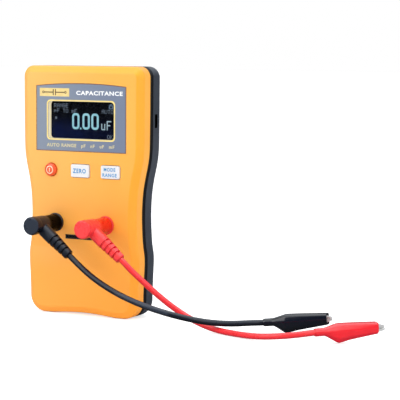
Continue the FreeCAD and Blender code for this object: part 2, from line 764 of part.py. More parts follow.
def main_board():
    body = new_body("main_board")
    corners = MAIN_BOARD_HALF + [(-x, z) for x, z in reversed(MAIN_BOARD_HALF)]
    pad(body, polygon(new_sketch(body, FRONT, -MAIN_BOARD_BACK), corners), dims.board_thick)
    sketch = circles(new_sketch(body, FRONT, 0.2 - dims.main_board_y), MAIN_POSTS, 1.2)
    circles(sketch, both_sides((dims.jack_x, dims.jack_z)), 0.95)
    pocket(body, sketch, 3.0)


def board_header():
    """Joins the two boards."""
    front, length, z = -6.98, 8.36, 113.5

    def square_pins(y, width, pin_len):
        return [box(x - width / 2, y, z - width / 2, width, pin_len, width) for x in PIN_XS]

    block = box(-PIN_PITCH * PIN_COUNT / 2, front, z - PIN_PITCH / 2,
                PIN_PITCH * PIN_COUNT, length, PIN_PITCH)
    cut(block, fuse(square_pins(-7.0, 0.72, 8.5)), "board_header")
    group(square_pins(front, 0.64, length), "board_header_pins")


# ---------------------------------------------------------------- parts behind the main board
MOUNT_Y = MAIN_BOARD_BACK + 0.02


def chip(label, x, z, width, height, legs):
    """A flat package with legs along its -X and +X sides."""
    items = [box(x - width / 2, MOUNT_Y + 0.15, z - height / 2, width, 1.4, height)]
    pitch = height * 0.86 / (legs - 1)
    for leg_x in (x - width / 2 - 0.9, x + width / 2 - 0.1):
        for i in range(legs):
            leg_z = z - height * 0.43 + pitch * i - 0.2
            items.append(box(leg_x, MOUNT_Y, leg_z, 1.0, 0.35, 0.4))
    fuse(items, label)


def crystal():
    left, right, z, radius, thick = -31.5, -20.5, 150.3, 2.3, 3.5
    middle = box(left, MOUNT_Y, z - radius, right - left, thick, 2 * radius)
    ends = [cylinder(x, MOUNT_Y, z, radius, thick, "y") for x in (left, right)]
    fuse([middle] + ends, "crystal")


def electrolytic_capacitors():
    z, base = 94.0, 6.6
    group([fuse([cylinder(x, MOUNT_Y, z, 3.15, 7.6, "y"),
                 box(x - base / 2, MOUNT_Y, z - base / 2, base, 0.5, base)])
           for x in (-4.0, 6.0, 16.0)], "electrolytic_capacitors")


def reference_resistors():
    resistors = []
    for i in range(4):
        z = 128.0 - 3.6 * i
        barrel = cylinder(-7.2, 4.6, z, 1.15, 6.4, "x")
        wire = cylinder(-9.6, 4.6, z, 0.3, 11.2, "x")
        legs = [cylinder(x, 3.05, z, 0.3, 1.85, "y") for x in (-9.3, 1.3)]
        resistors.append(fuse([barrel, wire] + legs))
    group(resistors, "reference_resistors")


def usb_socket():
    y, z = dims.usb_y, dims.usb_z
    cut(box(38.4, y - 1.95, z - 3.85, 9.2, 3.9, 7.7),
        box(40.0, y - 1.6, z - 3.45, 8.0, 3.2, 6.9), "usb_socket")
    box(40.05, y - 0.45, z - 2.5, 6.6, 0.9, 5.0, "usb_contact_tongue")


def components():
    chip("microcontroller", -10.0, 146.0, 10.0, 10.0, 11)
    chip("comparator_chip", 14.0, 118.0, 4.0, 8.7, 7)
    crystal()
    box(-33.0, MOUNT_Y, 108.0, 15.0, 9.0, 7.4, "range_relay")
    electrolytic_capacitors()
    reference_resistors()
    usb_socket()


# ---------------------------------------------------------------- battery
LOW_PLATE_Z, HIGH_PLATE_Z, PLATE_THICK, PLATE_SIZE = 8.72, 62.68, 0.3, 11.0
LEAF_WIDTH = 5.0
# (x from the cell axis, height off the end plate) round the leaf spring
LEAF = [(-4.5, 0.04), (-2.33, 0.04), (0.67, 1.72), (3.6, 1.72), (3.6, 1.97), (0.6, 1.97),
        (-2.4, 0.29), (-4.5, 0.29)]


def cell(x, nub_up):
    low = 11.2 if nub_up else 11.1
    nub_z = low + dims.cell_len if nub_up else low - dims.nub_len
    return fuse([cylinder(x, dims.cell_y, low, dims.cell_dia / 2, dims.cell_len),
                 cylinder(x, dims.cell_y, nub_z, dims.nub_dia / 2, dims.nub_len)])


def leaf_spring(label, x, nub_up):
    """The spring at the flat end of a cell."""
    body = new_body(label, export=False)
    if nub_up:
        corners = [(x + dx, LOW_PLATE_Z + PLATE_THICK + dz) for dx, dz in LEAF]
    else:
        corners = [(x + dx, HIGH_PLATE_Z - dz) for dx, dz in LEAF]
    pad(body, polygon(new_sketch(body, FRONT, LEAF_WIDTH / 2 - dims.cell_y), corners),
        LEAF_WIDTH, Reversed=True)
    return body


def end_plates(x, nub_up):
    """The two plates of a cell; the one at the nub carries a round pip."""
    low, high = [box(x - PLATE_SIZE / 2, dims.cell_y - PLATE_SIZE / 2, z,
                     PLATE_SIZE, PLATE_SIZE, PLATE_THICK) for z in (LOW_PLATE_Z, HIGH_PLATE_Z)]
    if nub_up:
        high = fuse([high, cylinder(x, dims.cell_y, 61.75, 2.0, 1.0)])
    else:
        low = fuse([low, cylinder(x, dims.cell_y, 8.9, 2.0, 1.15)])
    return [low, high]


def battery():
    cells = []
    springs = []
    plates = []
    for i in range(4):
        x = dims.cell_pitch * (i - 1.5)
        nub_up = i % 2 == 0
        cells.append(cell(x, nub_up))
        springs.append(leaf_spring("leaf%d" % i, x, nub_up))
        plates += end_plates(x, nub_up)
    group(cells, "aa_cells")
    group(springs, "battery_springs")
    group(plates, "battery_plates")


# ---------------------------------------------------------------- cables
# (x, y, z) along the centre line of each cable, from past the plug's arm to the clip
CABLE_PATHS = {
    "black": [
        (12.9, -38.3, 41.1), (21.8, -40.2, 35.8), (39.2, -44.1, 28.1), (58.4, -47.3, 21.8),
        (78.1, -47.8, 16.65), (96.9, -43.9, 12.2), (113.8, -34.4, 8.45),
        (128.4, -19.9, 6.45), (136.3, -10.9, 6.25)],
    "red": [
        (53.5, -36.6, 41.3), (61.4, -34.2, 33.8), (76.8, -28.6, 19.8), (94.1, -25.2, 8.8),
        (113.3, -26.9, 3.0), (133.2, -32.9, 2.15), (153.4, -38.9, 2.95),
        (173.6, -39.9, 5.2), (184.6, -36.3, 6.7)],
}


def clip_tail(colour):
    return [getattr(dims, "%s_tail_%s" % (colour, axis)) for axis in "xyz"]


def clip_rotation(colour):
    yaw, pitch = getattr(dims, colour + "_yaw"), getattr(dims, colour + "_pitch")
    return Rotation(Vec(0, 0, 1), yaw.value).multiply(Rotation(Vec(0, 1, 0), -pitch.value))


def sweep(points, start_way, end_way, radius, name, label=None):
    """A round bar along a smooth curve through the points."""
    curve = Part.BSplineCurve()
    curve.interpolate(Points=points, InitialTangent=start_way, FinalTangent=end_way)
    path = doc.addObject("Part::Feature", "path_" + name)
    path.Shape = Part.Wire([curve.toShape()])
    ring = doc.addObject("Part::Circle", "ring_" + name)
    bind(ring, "Radius", radius)
    ring.Placement = Placement(points[0], Rotation(Vec(0, 0, 1), start_way))
    swept = doc.addObject("Part::Sweep", "sweep_" + name)
    swept.Sections = [ring]
    swept.Spine = (path, ["Edge1"])
    swept.Solid = True
    swept.Frenet = False
    return keep(swept, label)


def cable(colour, jack_x):
    """The jacket, and the conductor that runs on into the plug and the clip."""
    angle = math.radians(dims.arm_angle.value)
    arm_way = Vec(math.cos(angle), 0, -math.sin(angle))
    hub = Vec(jack_x.value, -dims.arm_y.value, dims.jack_z.value)
    tail = Vec(*[part.value for part in clip_tail(colour)])
    clip_way = clip_rotation(colour).multVec(Vec(1, 0, 0))
    points = [hub + arm_way * reach for reach in (23.0, 29.0, dims.arm_len.value + 1.5)]
    points += [Vec(*point) for point in CABLE_PATHS[colour]] + [tail, tail + clip_way * 6.5]
    core_radius = dims.core_dia / 2
    jacket = sweep(points, arm_way, clip_way, dims.cable_dia / 2, colour + "_outer")
    hollow = sweep(points, arm_way, clip_way, core_radius + 0.1, colour + "_hollow")
    cut(jacket, hollow, colour + "_cable")
    points = [hub + arm_way * 1.0, hub + arm_way * 12.0] + points + [tail + clip_way * 11.0]
    sweep(points, arm_way, clip_way, core_radius, colour + "_core", colour + "_conductor")


# ---------------------------------------------------------------- plugs
def arm_sketch(body, jack_x):
    """A sketch whose x axis is the arm's axis, from the jack axis outwards."""
    return sketch_at(body, FRONT, jack_x, dims.jack_z, dims.arm_y,
                     Rotation(Vec(0, 0, 1), -dims.arm_angle.value))


def arm_bore(body, jack_x, start, end, radius):
    """A round bore along the arm's axis."""
    sketch = polygon(arm_sketch(body, jack_x),
                     [(start, 0), (start, radius), (end, radius), (end, 0)])
    revolve(body, sketch, "H_Axis", "Groove")


def plug_housing(colour, jack_x):
    """Right-angle housing: barrel on the jack axis, arm leaving it near the head."""
    head, barrel = dims.head_dia / 2, dims.barrel_dia / 2
    arm, tip = dims.arm_dia / 2, dims.arm_tip_dia / 2
    body = turned(colour + "_plug_housing", jack_x, [
        (0, -48.5), (head - 1.0, -48.5), (head - 0.3, -48.2), (head, -47.5), (head, -43.2),
        (head - 0.25, -42.6), (head - 0.15, -41.0), (head - 0.15, -34.0), (barrel, -29.0),
        (barrel, -20.6), (barrel + 0.25, -19.6), (barrel + 0.25, -17.6),
        (barrel - 0.35, -17.02), (0, -17.02)])
    taper_start, taper_len = dims.arm_len - 17.6, 17.0
    sketch = polygon(arm_sketch(body, jack_x), [
        (0, 0), (0, arm), (taper_start, arm - 0.1), (dims.arm_len - 0.6, tip),
        (dims.arm_len, tip - 0.5), (dims.arm_len, 0)])
    revolve(body, sketch, "H_Axis")
    doc.recompute()
    # bore for the cable, then for its core
    arm_bore(body, jack_x, 22.8, dims.arm_len + 1.0, dims.cable_dia / 2 + 0.05)
    arm_bore(body, jack_x, 2.0, 23.0, dims.core_dia / 2 + 0.05)
    # strain relief: part-ring slots cut from the front (-1) and from behind (1) in turn
    for side, shift, number, span in ((-1, 0.0, 4, 200.0), (1, 0.5, 3, 150.0)):
        sketch = sketch_at(body, TOP, jack_x, -dims.arm_y, dims.jack_z,
                           Rotation(Vec(0, 1, 0), dims.arm_angle.value))
        for i in range(number):
            start = dims.arm_len - 17.0 + dims.slot_pitch * (i + shift)
            end = start + dims.slot_width
            surface = arm - 0.1 - (arm - tip) * (start - taper_start) / taper_len
            floor, outside = (surface - dims.slot_deep) * side, (surface + 1.5) * side
            polygon(sketch, [(start, floor), (end, floor), (end, outside), (start, outside)])
        revolve(body, sketch, "H_Axis", "Groove", span, Midplane=True)
    # bore for the contact pin
    sketch = polygon(jack_axis_sketch(body, jack_x),
                     [(0, -41.0), (2.63, -41.0), (2.63, -17.0), (0, -17.0)])
    revolve(body, sketch, kind="Groove")


def plug_pin(colour, jack_x):
    """Solid core with a collar, bored for the end of the conductor."""
    radius = dims.pin_dia / 2
    body = turned(colour + "_plug_pin", jack_x, [
        (0, -40.9), (2.6, -40.9), (2.6, -17.4), (1.9, -17.0), (1.9, -16.1), (radius, -16.1),
        (radius, -1.1), (1.8, -1.1), (1.8, -0.3), (0.9, 0.5), (0, 0.5)])
    arm_bore(body, jack_x, 0.6, 4.0, 1.05)


def plug_cage(colour, jack_x):
    """The sprung cage round the pin, with four slits between its leaves."""
    inner, bulge, end = dims.cage_id / 2, dims.cage_dia / 2, 1.72
    slit_y, slit_len, slit_width, half_depth = -8.6, 9.6, 0.5, 3.0
    body = turned(colour + "_plug_cage", jack_x, [
        (inner, -15.9), (end, -15.9), (end, -13.6), (bulge, -11.0), (bulge, -6.2),
        (end, -3.6), (end, -1.3), (inner, -1.3)])
    sketch = new_sketch(body, TOP, dims.jack_z - half_depth)
    pocket(body, rect(sketch, jack_x, slit_y, slit_width, slit_len), 2 * half_depth,
           Reversed=True)
    sketch = new_sketch(body, SIDE, jack_x - half_depth)
    pocket(body, rect(sketch, slit_y, dims.jack_z, slit_len, slit_width), 2 * half_depth,
           Reversed=True)


# ---------------------------------------------------------------- crocodile clips
# Modelled along X: cable end at 0, mouth of the boot at clip_len, then set in place.
# Profiles are (x, z).
UPPER_INNER_GAP = 0.2  # by which the upper jaw is narrower than the space in the lower


def on_clip(body, colour):
    """Set a clip piece in its place at the end of the lead."""
    place(body, "Placement", *clip_tail(colour), clip_rotation(colour))


def teeth(root_z, tip_z):
    points = []
    for i in range(8):
        x = 31.0 + 2.1 * i
        points += [(x, root_z), (x + 1.05, tip_z)]
    return points


def pivot_circle(sketch, radius):
    return circle(sketch, dims.clip_pivot, -0.3, radius)


def pivot_hole(body):
    pocket(body, pivot_circle(new_sketch(body, FRONT), 0.95), 12.0, Midplane=True)


def lower_jaw(colour):
    body = new_body(colour + "_clip_lower_jaw")
    profile = [(16.0, -5.9), (19.5, -3.5), (28.0, -3.4), (46.5, -2.5), (49.3, -1.6),
               (49.3, -0.35), (48.0, -0.35)]
    profile += reversed(teeth(-0.35, -0.95))
    profile += [(28.0, -0.6), (24.6, 1.3), (20.6, 1.3), (18.4, -1.9), (15.3, -4.4),
                (15.0, -4.8), (15.1, -5.6)]
    pad(body, polygon(new_sketch(body, FRONT), profile), dims.clip_width, Midplane=True)
    # hollow that leaves a channel of sheet metal
    hollow = [(15.6, -5.15), (19.8, -2.75), (28.0, -2.65), (46.3, -1.75), (46.9, 4.0),
              (12.0, 4.0), (12.0, -5.15)]
    pocket(body, polygon(new_sketch(body, FRONT), hollow),
           dims.clip_width - dims.clip_sheet * 2, Midplane=True)
    # strap that runs back on the centre line to the crimp
    strap = [(21.0, -2.75), (16.0, -2.75), (12.4, -1.9), (7.2, -1.9), (7.2, -1.2),
             (12.6, -1.2), (16.2, -2.05), (21.0, -2.05)]
    pad(body, polygon(new_sketch(body, FRONT), strap), 3.0, Midplane=True)
    crimp = circle(new_sketch(body, SIDE, 7.2), 0, 0, 1.75)
    pad(body, circle(crimp, 0, 0, dims.core_dia / 2 + 0.04), 4.6)
    pivot_hole(body)
    on_clip(body, colour)


def upper_jaw(colour):
    body = new_body(colour + "_clip_upper_jaw")
    profile = [(14.9, 3.7), (14.5, 3.4), (14.6, 3.0), (18.6, 1.6), (20.4, -1.35),
               (24.6, -1.8), (28.5, 0.2)]
    profile += teeth(0.0, -0.5)
    profile += [(48.0, 0.0), (49.3, 0.0), (49.3, 1.2), (46.5, 2.2), (28.0, 3.0), (19.5, 3.1)]
    pad(body, polygon(new_sketch(body, FRONT), profile),
        dims.clip_width - dims.clip_sheet * 2 - UPPER_INNER_GAP, Midplane=True)
    hollow = [(13.0, 2.95), (19.3, 2.4), (28.0, 2.3), (46.3, 1.5), (46.9, -4.0), (13.0, -4.0)]
    pocket(body, polygon(new_sketch(body, FRONT), hollow),
           dims.clip_width - dims.clip_sheet * 4 - UPPER_INNER_GAP, Midplane=True)
    pivot_hole(body)
    on_clip(body, colour)


def rivet(colour):
    """A shank through both jaws with a round head on each side."""
    head_radius, head_thick = 1.5, 0.45
    head_seat = dims.clip_width / 2 + 0.02
    body = new_body(colour + "_clip_rivet")
    pad(body, pivot_circle(new_sketch(body, FRONT), 0.9), dims.clip_width + 0.3, Midplane=True)
    pad(body, pivot_circle(new_sketch(body, FRONT, head_seat), head_radius), head_thick)
    pad(body, pivot_circle(new_sketch(body, FRONT, -head_seat), head_radius), head_thick,
        Reversed=True)
    on_clip(body, colour)


def clip_spring(colour):
    """Torsion spring on the rivet: its coil as a short tube, and its two legs."""
    body = new_body(colour + "_clip_spring")
    coil = pivot_circle(new_sketch(body, FRONT), 1.6)
    pad(body, pivot_circle(coil, 1.1), 1.8, Midplane=True)
    legs = new_sketch(body, FRONT)
    polygon(legs, [(22.5, -1.9), (22.5, -1.45), (17.2, -1.53), (17.2, -1.98)])
    polygon(legs, [(22.5, 1.3), (22.5, 0.85), (19.0, 0.85), (19.0, 1.3)])
    pad(body, legs, 0.5, Midplane=True)
    on_clip(body, colour)


THROAT = [(2.95 * math.sin(math.radians(turn)), 2.95 * math.cos(math.radians(turn)))
          for turn in (18, 54, 90, 126, 162)]
# x, the five (y, z) corners of one half, wall thickness
BOOT_SECTIONS = [
    (0.0, THROAT, 0.5),
    (7.4, THROAT, 0.5),
    (16.0, [(1.7, 5.0), (3.7, 3.9), (4.7, 0.5), (4.2, -4.9), (2.6, -8.2)], 0.65),
    (24.0, [(2.1, 4.75), (3.8, 3.8), (4.7, 0.2), (4.0, -3.8), (1.9, -6.6)], 0.65),
    (dims.clip_len, [(2.5, 3.75), (3.7, 2.9), (4.1, 0.0), (3.6, -2.6), (2.3, -3.95)], 0.65)]


def boot_ring(half, inset):
    """Ten corners from the five of one half, each side moved in by inset."""
    corners = half + [(-x, z) for x, z in reversed(half)]
    ring = []
    for i, (x, z) in enumerate(corners):
        # inward normals of the two sides that meet here (corners run clockwise)
        normals = []
        for (x0, z0), (x1, z1) in ((corners[i - 1], (x, z)), ((x, z), corners[(i + 1) % 10])):
            length = math.hypot(x1 - x0, z1 - z0)
            normals.append(((z1 - z0) / length, -(x1 - x0) / length))
        (ax, az), (bx, bz) = normals
        shift = inset / (1 + ax * bx + az * bz)
        ring.append((x + (ax + bx) * shift, z + (az + bz) * shift))
    return ring


def boot(colour):
    """Soft ten-sided sleeve, bulged over the levers, open at the mouth."""
    body = new_body(colour + "_clip_boot")
    # the inner loft runs past both ends of the outer one
    for kind, overrun, hollow in (("AdditiveLoft", 0.0, False), ("SubtractiveLoft", 0.5, True)):
        sketches = []
        for (x, half, wall), shift in zip(BOOT_SECTIONS, (-overrun, 0, 0, 0, overrun)):
            sketch = new_sketch(body, SIDE, x + shift)
            sketches.append(polygon(sketch, boot_ring(half, wall if hollow else 0.0)))
        loft = feature(body, kind, sketches[0], {"Sections": sketches[1:], "Ruled": True})
        body.Tip = loft
        doc.recompute()
    on_clip(body, colour)


def lead(colour, jack_x):
    for build in (cable, plug_housing, plug_pin, plug_cage):
        build(colour, jack_x)
    for build in (lower_jaw, upper_jaw, rivet, clip_spring, boot):
        build(colour)


# ---------------------------------------------------------------- build
front_cover()
rear_cover()
seal_band()
battery_door()
screws()
overlay_panel()
display_bezel()
display_lens()
display_module()
display_ribbon()
key_cap("zero_button", KEYS["zero"])
key_cap("range_button", KEYS["range"])
power_button()
key_switches()
jacks()
test_socket()
front_board()
main_board()
board_header()
components()
battery()
for colour, jack_x in JACKS.items():
    lead(colour, jack_x)

# ---------------------------------------------------------------- checks and export
doc.recompute()
bad = []
for obj in doc.Objects:
    if "Invalid" in obj.State or "Error" in obj.State:
        bad.append("%s (%s): %s" % (obj.Name, obj.Label, obj.State))
for label, obj in parts.items():
    shape = obj.Shape
    if shape.isNull() or not shape.isValid() or not shape.Solids:
        bad.append("%s: no valid solid" % label)
if bad:
    raise SystemExit("failed objects:\n" + "\n".join(bad))
os.makedirs("parts", exist_ok=True)
for label, obj in parts.items():
    obj.Shape.exportStep("parts/%s.step" % label)
print(len(parts), "parts written")
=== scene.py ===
"""Handheld capacitance meter with two plug-in test leads, black and red, ending in clips.

The meter stands upright with its front towards -y; x runs to the right seen from the front and
z is up. Outlines are in mm and scaled by MM; material places are in metres.
"""
import json
import math
from functools import cache

import bmesh
import bpy
import numpy as np
from mathutils import Matrix, Vector
from mathutils.bvhtree import BVHTree


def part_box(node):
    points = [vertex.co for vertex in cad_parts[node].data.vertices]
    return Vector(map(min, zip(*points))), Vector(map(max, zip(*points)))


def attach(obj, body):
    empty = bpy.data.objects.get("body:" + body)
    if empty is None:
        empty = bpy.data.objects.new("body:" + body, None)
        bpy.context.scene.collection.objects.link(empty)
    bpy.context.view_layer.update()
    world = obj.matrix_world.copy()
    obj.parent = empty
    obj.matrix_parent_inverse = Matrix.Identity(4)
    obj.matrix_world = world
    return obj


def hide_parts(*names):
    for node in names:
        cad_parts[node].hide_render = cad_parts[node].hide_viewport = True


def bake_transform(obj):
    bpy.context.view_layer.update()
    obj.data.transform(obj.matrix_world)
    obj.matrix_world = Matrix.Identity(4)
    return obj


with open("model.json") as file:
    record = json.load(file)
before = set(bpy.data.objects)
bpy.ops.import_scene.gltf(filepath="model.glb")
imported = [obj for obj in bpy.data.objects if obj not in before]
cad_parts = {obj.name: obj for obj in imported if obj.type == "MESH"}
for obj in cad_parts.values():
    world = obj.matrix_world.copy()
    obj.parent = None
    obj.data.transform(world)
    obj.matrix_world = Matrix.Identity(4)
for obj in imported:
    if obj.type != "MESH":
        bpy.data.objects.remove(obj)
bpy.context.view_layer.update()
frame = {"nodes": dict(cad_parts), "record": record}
NODES = frame["nodes"]
SLOT = {part["node"]: part["material_slot"] for part in frame["record"]["subparts"]}
MM = 0.001
MATERIALS = {}


# ------------------------------------------------------------------ node helpers
def lin(rgb):
    """Linear RGBA from sRGB values of 0 to 255."""
    shares = [value / 255.0 for value in rgb]
    return (*(s / 12.92 if s <= 0.04045 else ((s + 0.055) / 1.055) ** 2.4 for s in shares), 1.0)


def darker(rgb, factor):
    return [value * factor for value in rgb]


class Nodes:
    """A node tree being filled."""

    def __init__(self, tree):
        self.tree = tree
        tree.nodes.clear()

    def add(self, kind, inputs=None, **props):
        node = self.tree.nodes.new(kind)
        for key, value in props.items():
            setattr(node, key, value)
        for key, value in (inputs or {}).items():
            self.put(node.inputs[key], value)
        return node

    def put(self, socket, value):
        """Link a socket, or set a plain value."""
        if isinstance(value, bpy.types.NodeSocket):
            self.tree.links.new(value, socket)
        else:
            socket.default_value = value


class Mat(Nodes):
    """A node material being built, kept in MATERIALS under its name."""

    def __init__(self, name):
        material = bpy.data.materials.new(name)
        material.use_nodes = True
        super().__init__(material.node_tree)
        MATERIALS[name] = material
        self.out = self.add("ShaderNodeOutputMaterial")
        self.coords = self.add("ShaderNodeTexCoord").outputs["Object"]

    def noise(self, scale, detail=3.0, rough=0.5, coords=None):
        return self.add("ShaderNodeTexNoise", {
            "Vector": coords or self.coords, "Scale": scale, "Detail": detail,
            "Roughness": rough}).outputs["Fac"]

    def lines(self, scale):
        """Noise drawn out into lines by a different scale along each axis."""
        coords = self.add("ShaderNodeMapping", {"Vector": self.coords, "Scale": scale})
        return self.noise(1.0, detail=2.0, coords=coords.outputs["Vector"])

    def ramp(self, value, over, to=(0.0, 1.0)):
        """Smooth step from to[0] to to[1] while value goes from over[0] to over[1]."""
        return self.add("ShaderNodeMapRange", {
            "Value": value, "From Min": over[0], "From Max": over[1],
            "To Min": to[0], "To Max": to[1]},
            interpolation_type="SMOOTHSTEP").outputs["Result"]

    def cloud(self, scale, detail=3.0, rough=0.5, over=(0.3, 0.7), to=(0.0, 1.0)):
        """Noise with its contrast raised."""
        return self.ramp(self.noise(scale, detail, rough), over, to)

    def math(self, operation, first, second=0.0):
        return self.add("ShaderNodeMath", {0: first, 1: second}, operation=operation).outputs[0]

    def times(self, product, *factors):
        for factor in factors:
            product = self.math("MULTIPLY", product, factor)
        return product

    def mix(self, factor, first, second):
        """Colour mix; sockets 0, 6, 7 and output 2 are the colour ones."""
        node = self.add("ShaderNodeMix", {0: factor, 6: first, 7: second}, data_type="RGBA")
        return node.outputs[2]

    def tint(self, col, rgb, where, amount=None):
        """Lay the sRGB colour over col where the mask says so."""
        if amount is not None:
            where = self.times(where, amount)
        return self.mix(where, col, lin(rgb))

    def split(self, vector):
        return tuple(self.add("ShaderNodeSeparateXYZ", {"Vector": vector}).outputs)

    def place(self):
        return self.split(self.coords)

    def facing(self):
        return self.split(self.add("ShaderNodeNewGeometry").outputs["Normal"])

    def bump(self, height, depth, strength=1.0, normal=None):
        node = self.add("ShaderNodeBump", {
            "Height": height, "Distance": depth * MM, "Strength": strength})
        if normal is not None:
            self.put(node.inputs["Normal"], normal)
        return node.outputs["Normal"]

    def bevel(self, radius):
        return self.add("ShaderNodeBevel", {"Radius": radius * MM}, samples=4).outputs["Normal"]

    def edge(self, radius):
        """1 on worn convex and concave edges, 0 on open faces."""
        wide = self.bevel(radius)
        normal = self.add("ShaderNodeNewGeometry").outputs["Normal"]
        dot = self.add("ShaderNodeVectorMath", {0: wide, 1: normal}, operation="DOT_PRODUCT")
        turn = self.math("SUBTRACT", 1.0, dot.outputs["Value"])
        return self.ramp(turn, over=(0.03, 0.35))

    def surface(self, shader):
        self.put(self.out.inputs["Surface"], shader.outputs[0])

    def shade(self, **inputs):
        shader = self.add("ShaderNodeBsdfPrincipled",
                          {key.replace("_", " "): value for key, value in inputs.items()})
        self.surface(shader)
        return shader


# ------------------------------------------------------------------ kinds of material
def plastic(name, base, vary, *, rough, grain, soft, patch=28.0, wear=None, wear_reach=0.9,
            spec=0.5, coat=0.0, mottle=0.05, glow=None, extra=None, hollow=None, dark=None):
    """Moulded plastic or rubber.

    base, vary: colours it drifts between, in patches of scale patch; mottle: strength of flecks
    rough: least and most roughness; grain: scale and depth (mm) of the moulded grain
    soft: shaded edge radius, mm; wear, wear_reach: colour and radius (mm) of rubbed edges
    hollow: reach (mm), colour and strength of shade painted into hollows, with their gloss cut;
    dark: makes a mask of more painted shade added to them
    glow: colour and strength of emission; extra: function that tints by place or direction
    """
    mat = Mat(name)
    drift = mat.cloud(patch, detail=2.0)
    col = mat.mix(drift, lin(base), lin(vary))
    flecks = mat.cloud(900.0, detail=4.0, rough=0.6, over=(0.35, 0.75))
    col = mat.tint(col, darker(base, 0.72), flecks, amount=mottle)
    if extra:
        col = extra(mat, col)
    if hollow:
        reach, tone, amount = hollow
        # painted shade in hollows, found by ambient occlusion
        open_sky = mat.add("ShaderNodeAmbientOcclusion", {"Distance": reach * MM}, samples=8)
        shadow = mat.ramp(open_sky.outputs["AO"], over=(0.1, 0.55), to=(amount, 0.0))
        if dark:
            shadow = mat.math("MAXIMUM", shadow, dark(mat))
        col = mat.tint(col, tone, shadow)
    if wear:
        scuff = mat.times(mat.edge(wear_reach),
                          mat.cloud(420.0, detail=5.0, rough=0.65, over=(0.38, 0.62)))
        col = mat.tint(col, wear, scuff, amount=0.55)
    gloss = mat.cloud(140.0, detail=4.0, rough=0.6, over=(0.25, 0.75), to=rough)
    grain_scale, grain_depth = grain
    normal = mat.bump(mat.noise(grain_scale, rough=0.55), grain_depth, normal=mat.bevel(soft))
    shader = mat.shade(Base_Color=col, Roughness=gloss, Normal=normal, Coat_Weight=coat,
                       Coat_Roughness=0.12, Specular_IOR_Level=spec)
    if hollow:
        # the painted shade also cuts the gloss there
        lit_share = mat.math("SUBTRACT", 1.0, shadow)
        mat.put(shader.inputs["Specular IOR Level"], mat.times(lit_share, spec))
    if glow:
        shader.inputs["Emission Color"].default_value = lin(glow[0])
        shader.inputs["Emission Strength"].default_value = glow[1]


def metal(name, base, vary, rough=(0.18, 0.34), grime=0.25, full=0.82):
    """Plated or bare metal with fine drawn lines, uneven gloss and dull patches."""
    mat = Mat(name)
    col = mat.mix(mat.cloud(240.0, over=(0.35, 0.65)), lin(base), lin(vary))
    dull = mat.cloud(700.0, detail=5.0, rough=0.65, over=(0.45, 0.75))
    col = mat.tint(col, darker(base, 0.5), dull, amount=grime)
    gloss = mat.cloud(500.0, detail=4.0, to=rough)
    drawn = mat.lines(scale=(60.0, 60.0, 2400.0))
    normal = mat.bump(drawn, depth=0.004, normal=mat.bevel(0.15))
    mat.shade(Base_Color=col, Metallic=full, Roughness=gloss, Normal=normal)


def ink(name, base, vary):
    """Printed ink: slightly uneven cover with tiny worn pinholes."""
    mat = Mat(name)
    col = mat.mix(mat.cloud(260.0), lin(base), lin(vary))
    holes = mat.cloud(5200.0, rough=0.6, over=(0.62, 0.72))
    col = mat.tint(col, darker(base, 0.55), holes, amount=0.12)
    normal = mat.bump(mat.noise(3200.0, detail=2.0), depth=0.003, strength=0.5)
    mat.shade(Base_Color=col, Roughness=mat.cloud(300.0, to=(0.37, 0.48)), Normal=normal,
              Emission_Color=col, Emission_Strength=0.0)


def lit(name, base, vary, power):
    """Lit dots of the display: black bodies that glow."""
    mat = Mat(name)
    col = mat.mix(mat.cloud(180.0, detail=2.0), lin(base), lin(vary))
    mat.shade(Base_Color=(0.01, 0.01, 0.012, 1),
              Roughness=mat.cloud(900.0, detail=2.0, to=(0.35, 0.5)),
              Emission_Color=col, Emission_Strength=power)


# ------------------------------------------------------------------ tints by place and direction, most of them painted light and shade
# colour of the shade painted on black parts
NEAR_BLACK = (1, 2, 6)


def front_painted_light(mat, col):
    """Case front with painted light: paler to the left, painted shade richer on its slopes and
    towards the foot.
    """
    x, _, z = mat.place()
    # painted light: paler to the left
    col = mat.tint(col, (255, 197, 122), mat.ramp(x, over=(-0.055, 0.045), to=(0.42, 0.0)))
    turn_x, turn_y, turn_z = mat.facing()
    # painted light and shade by facing: front slopes that turn to the right, then those that turn
    # up
    slope = mat.times(turn_x, turn_y, -2.0)
    col = mat.tint(col, (255, 162, 22), mat.ramp(slope, over=(0.15, 0.9)), amount=0.85)
    rise = mat.times(turn_z, turn_y, -2.0)
    col = mat.tint(col, (255, 182, 52), mat.ramp(rise, over=(0.15, 0.9)), amount=0.45)
    # painted light: a pale area low on the left
    painted_hip_light = mat.times(mat.ramp(z, over=(0.0505, 0.0480)), mat.ramp(z, over=(0.028, 0.046)),
                    mat.ramp(x, over=(0.012, -0.034)))
    col = mat.tint(col, (255, 204, 132), painted_hip_light, amount=0.4)
    # painted shade: deeper towards the foot
    return mat.tint(col, (255, 163, 44), mat.ramp(z, over=(0.125, 0.02), to=(0.0, 0.64)))


def underside(mat, over, amount):
    """How far a surface leans downwards, from 0 to amount: the strength of shade painted
    underneath.
    """
    down = mat.times(mat.facing()[2], -1.0)
    return mat.ramp(down, over, to=(0.0, amount))


# painted shade on the undersides of black parts
def under_black_shade(mat, col):
    return mat.tint(col, NEAR_BLACK, underside(mat, over=(0.05, 0.6), amount=0.85))


# painted shade on the undersides of red parts
def under_red_shade(mat, col):
    return mat.tint(col, (188, 26, 42), underside(mat, over=(-0.05, 0.65), amount=0.8))


def boot_black_painted_light(mat, col):
    """Glossy boot with painted light: a bluer painted sheen on its upright sides, painted shade on
    the narrow top and underneath.
    """
    turn_z = mat.facing()[2]
    side = mat.times(mat.ramp(turn_z, over=(-0.12, 0.0)), mat.ramp(turn_z, over=(0.5, 0.3)))
    col = mat.tint(col, (10, 17, 33), side, amount=0.75)
    top = mat.ramp(turn_z, over=(0.45, 0.7), to=(0.0, 0.8))
    return under_black_shade(mat, mat.tint(col, NEAR_BLACK, top))


def near_case(mat, y, z):
    """The upper rear of the plug barrel, beside the case, where shade is painted."""
    return mat.times(mat.ramp(y, over=(-0.0335, -0.029)), mat.ramp(z, over=(0.0585, 0.0605)))


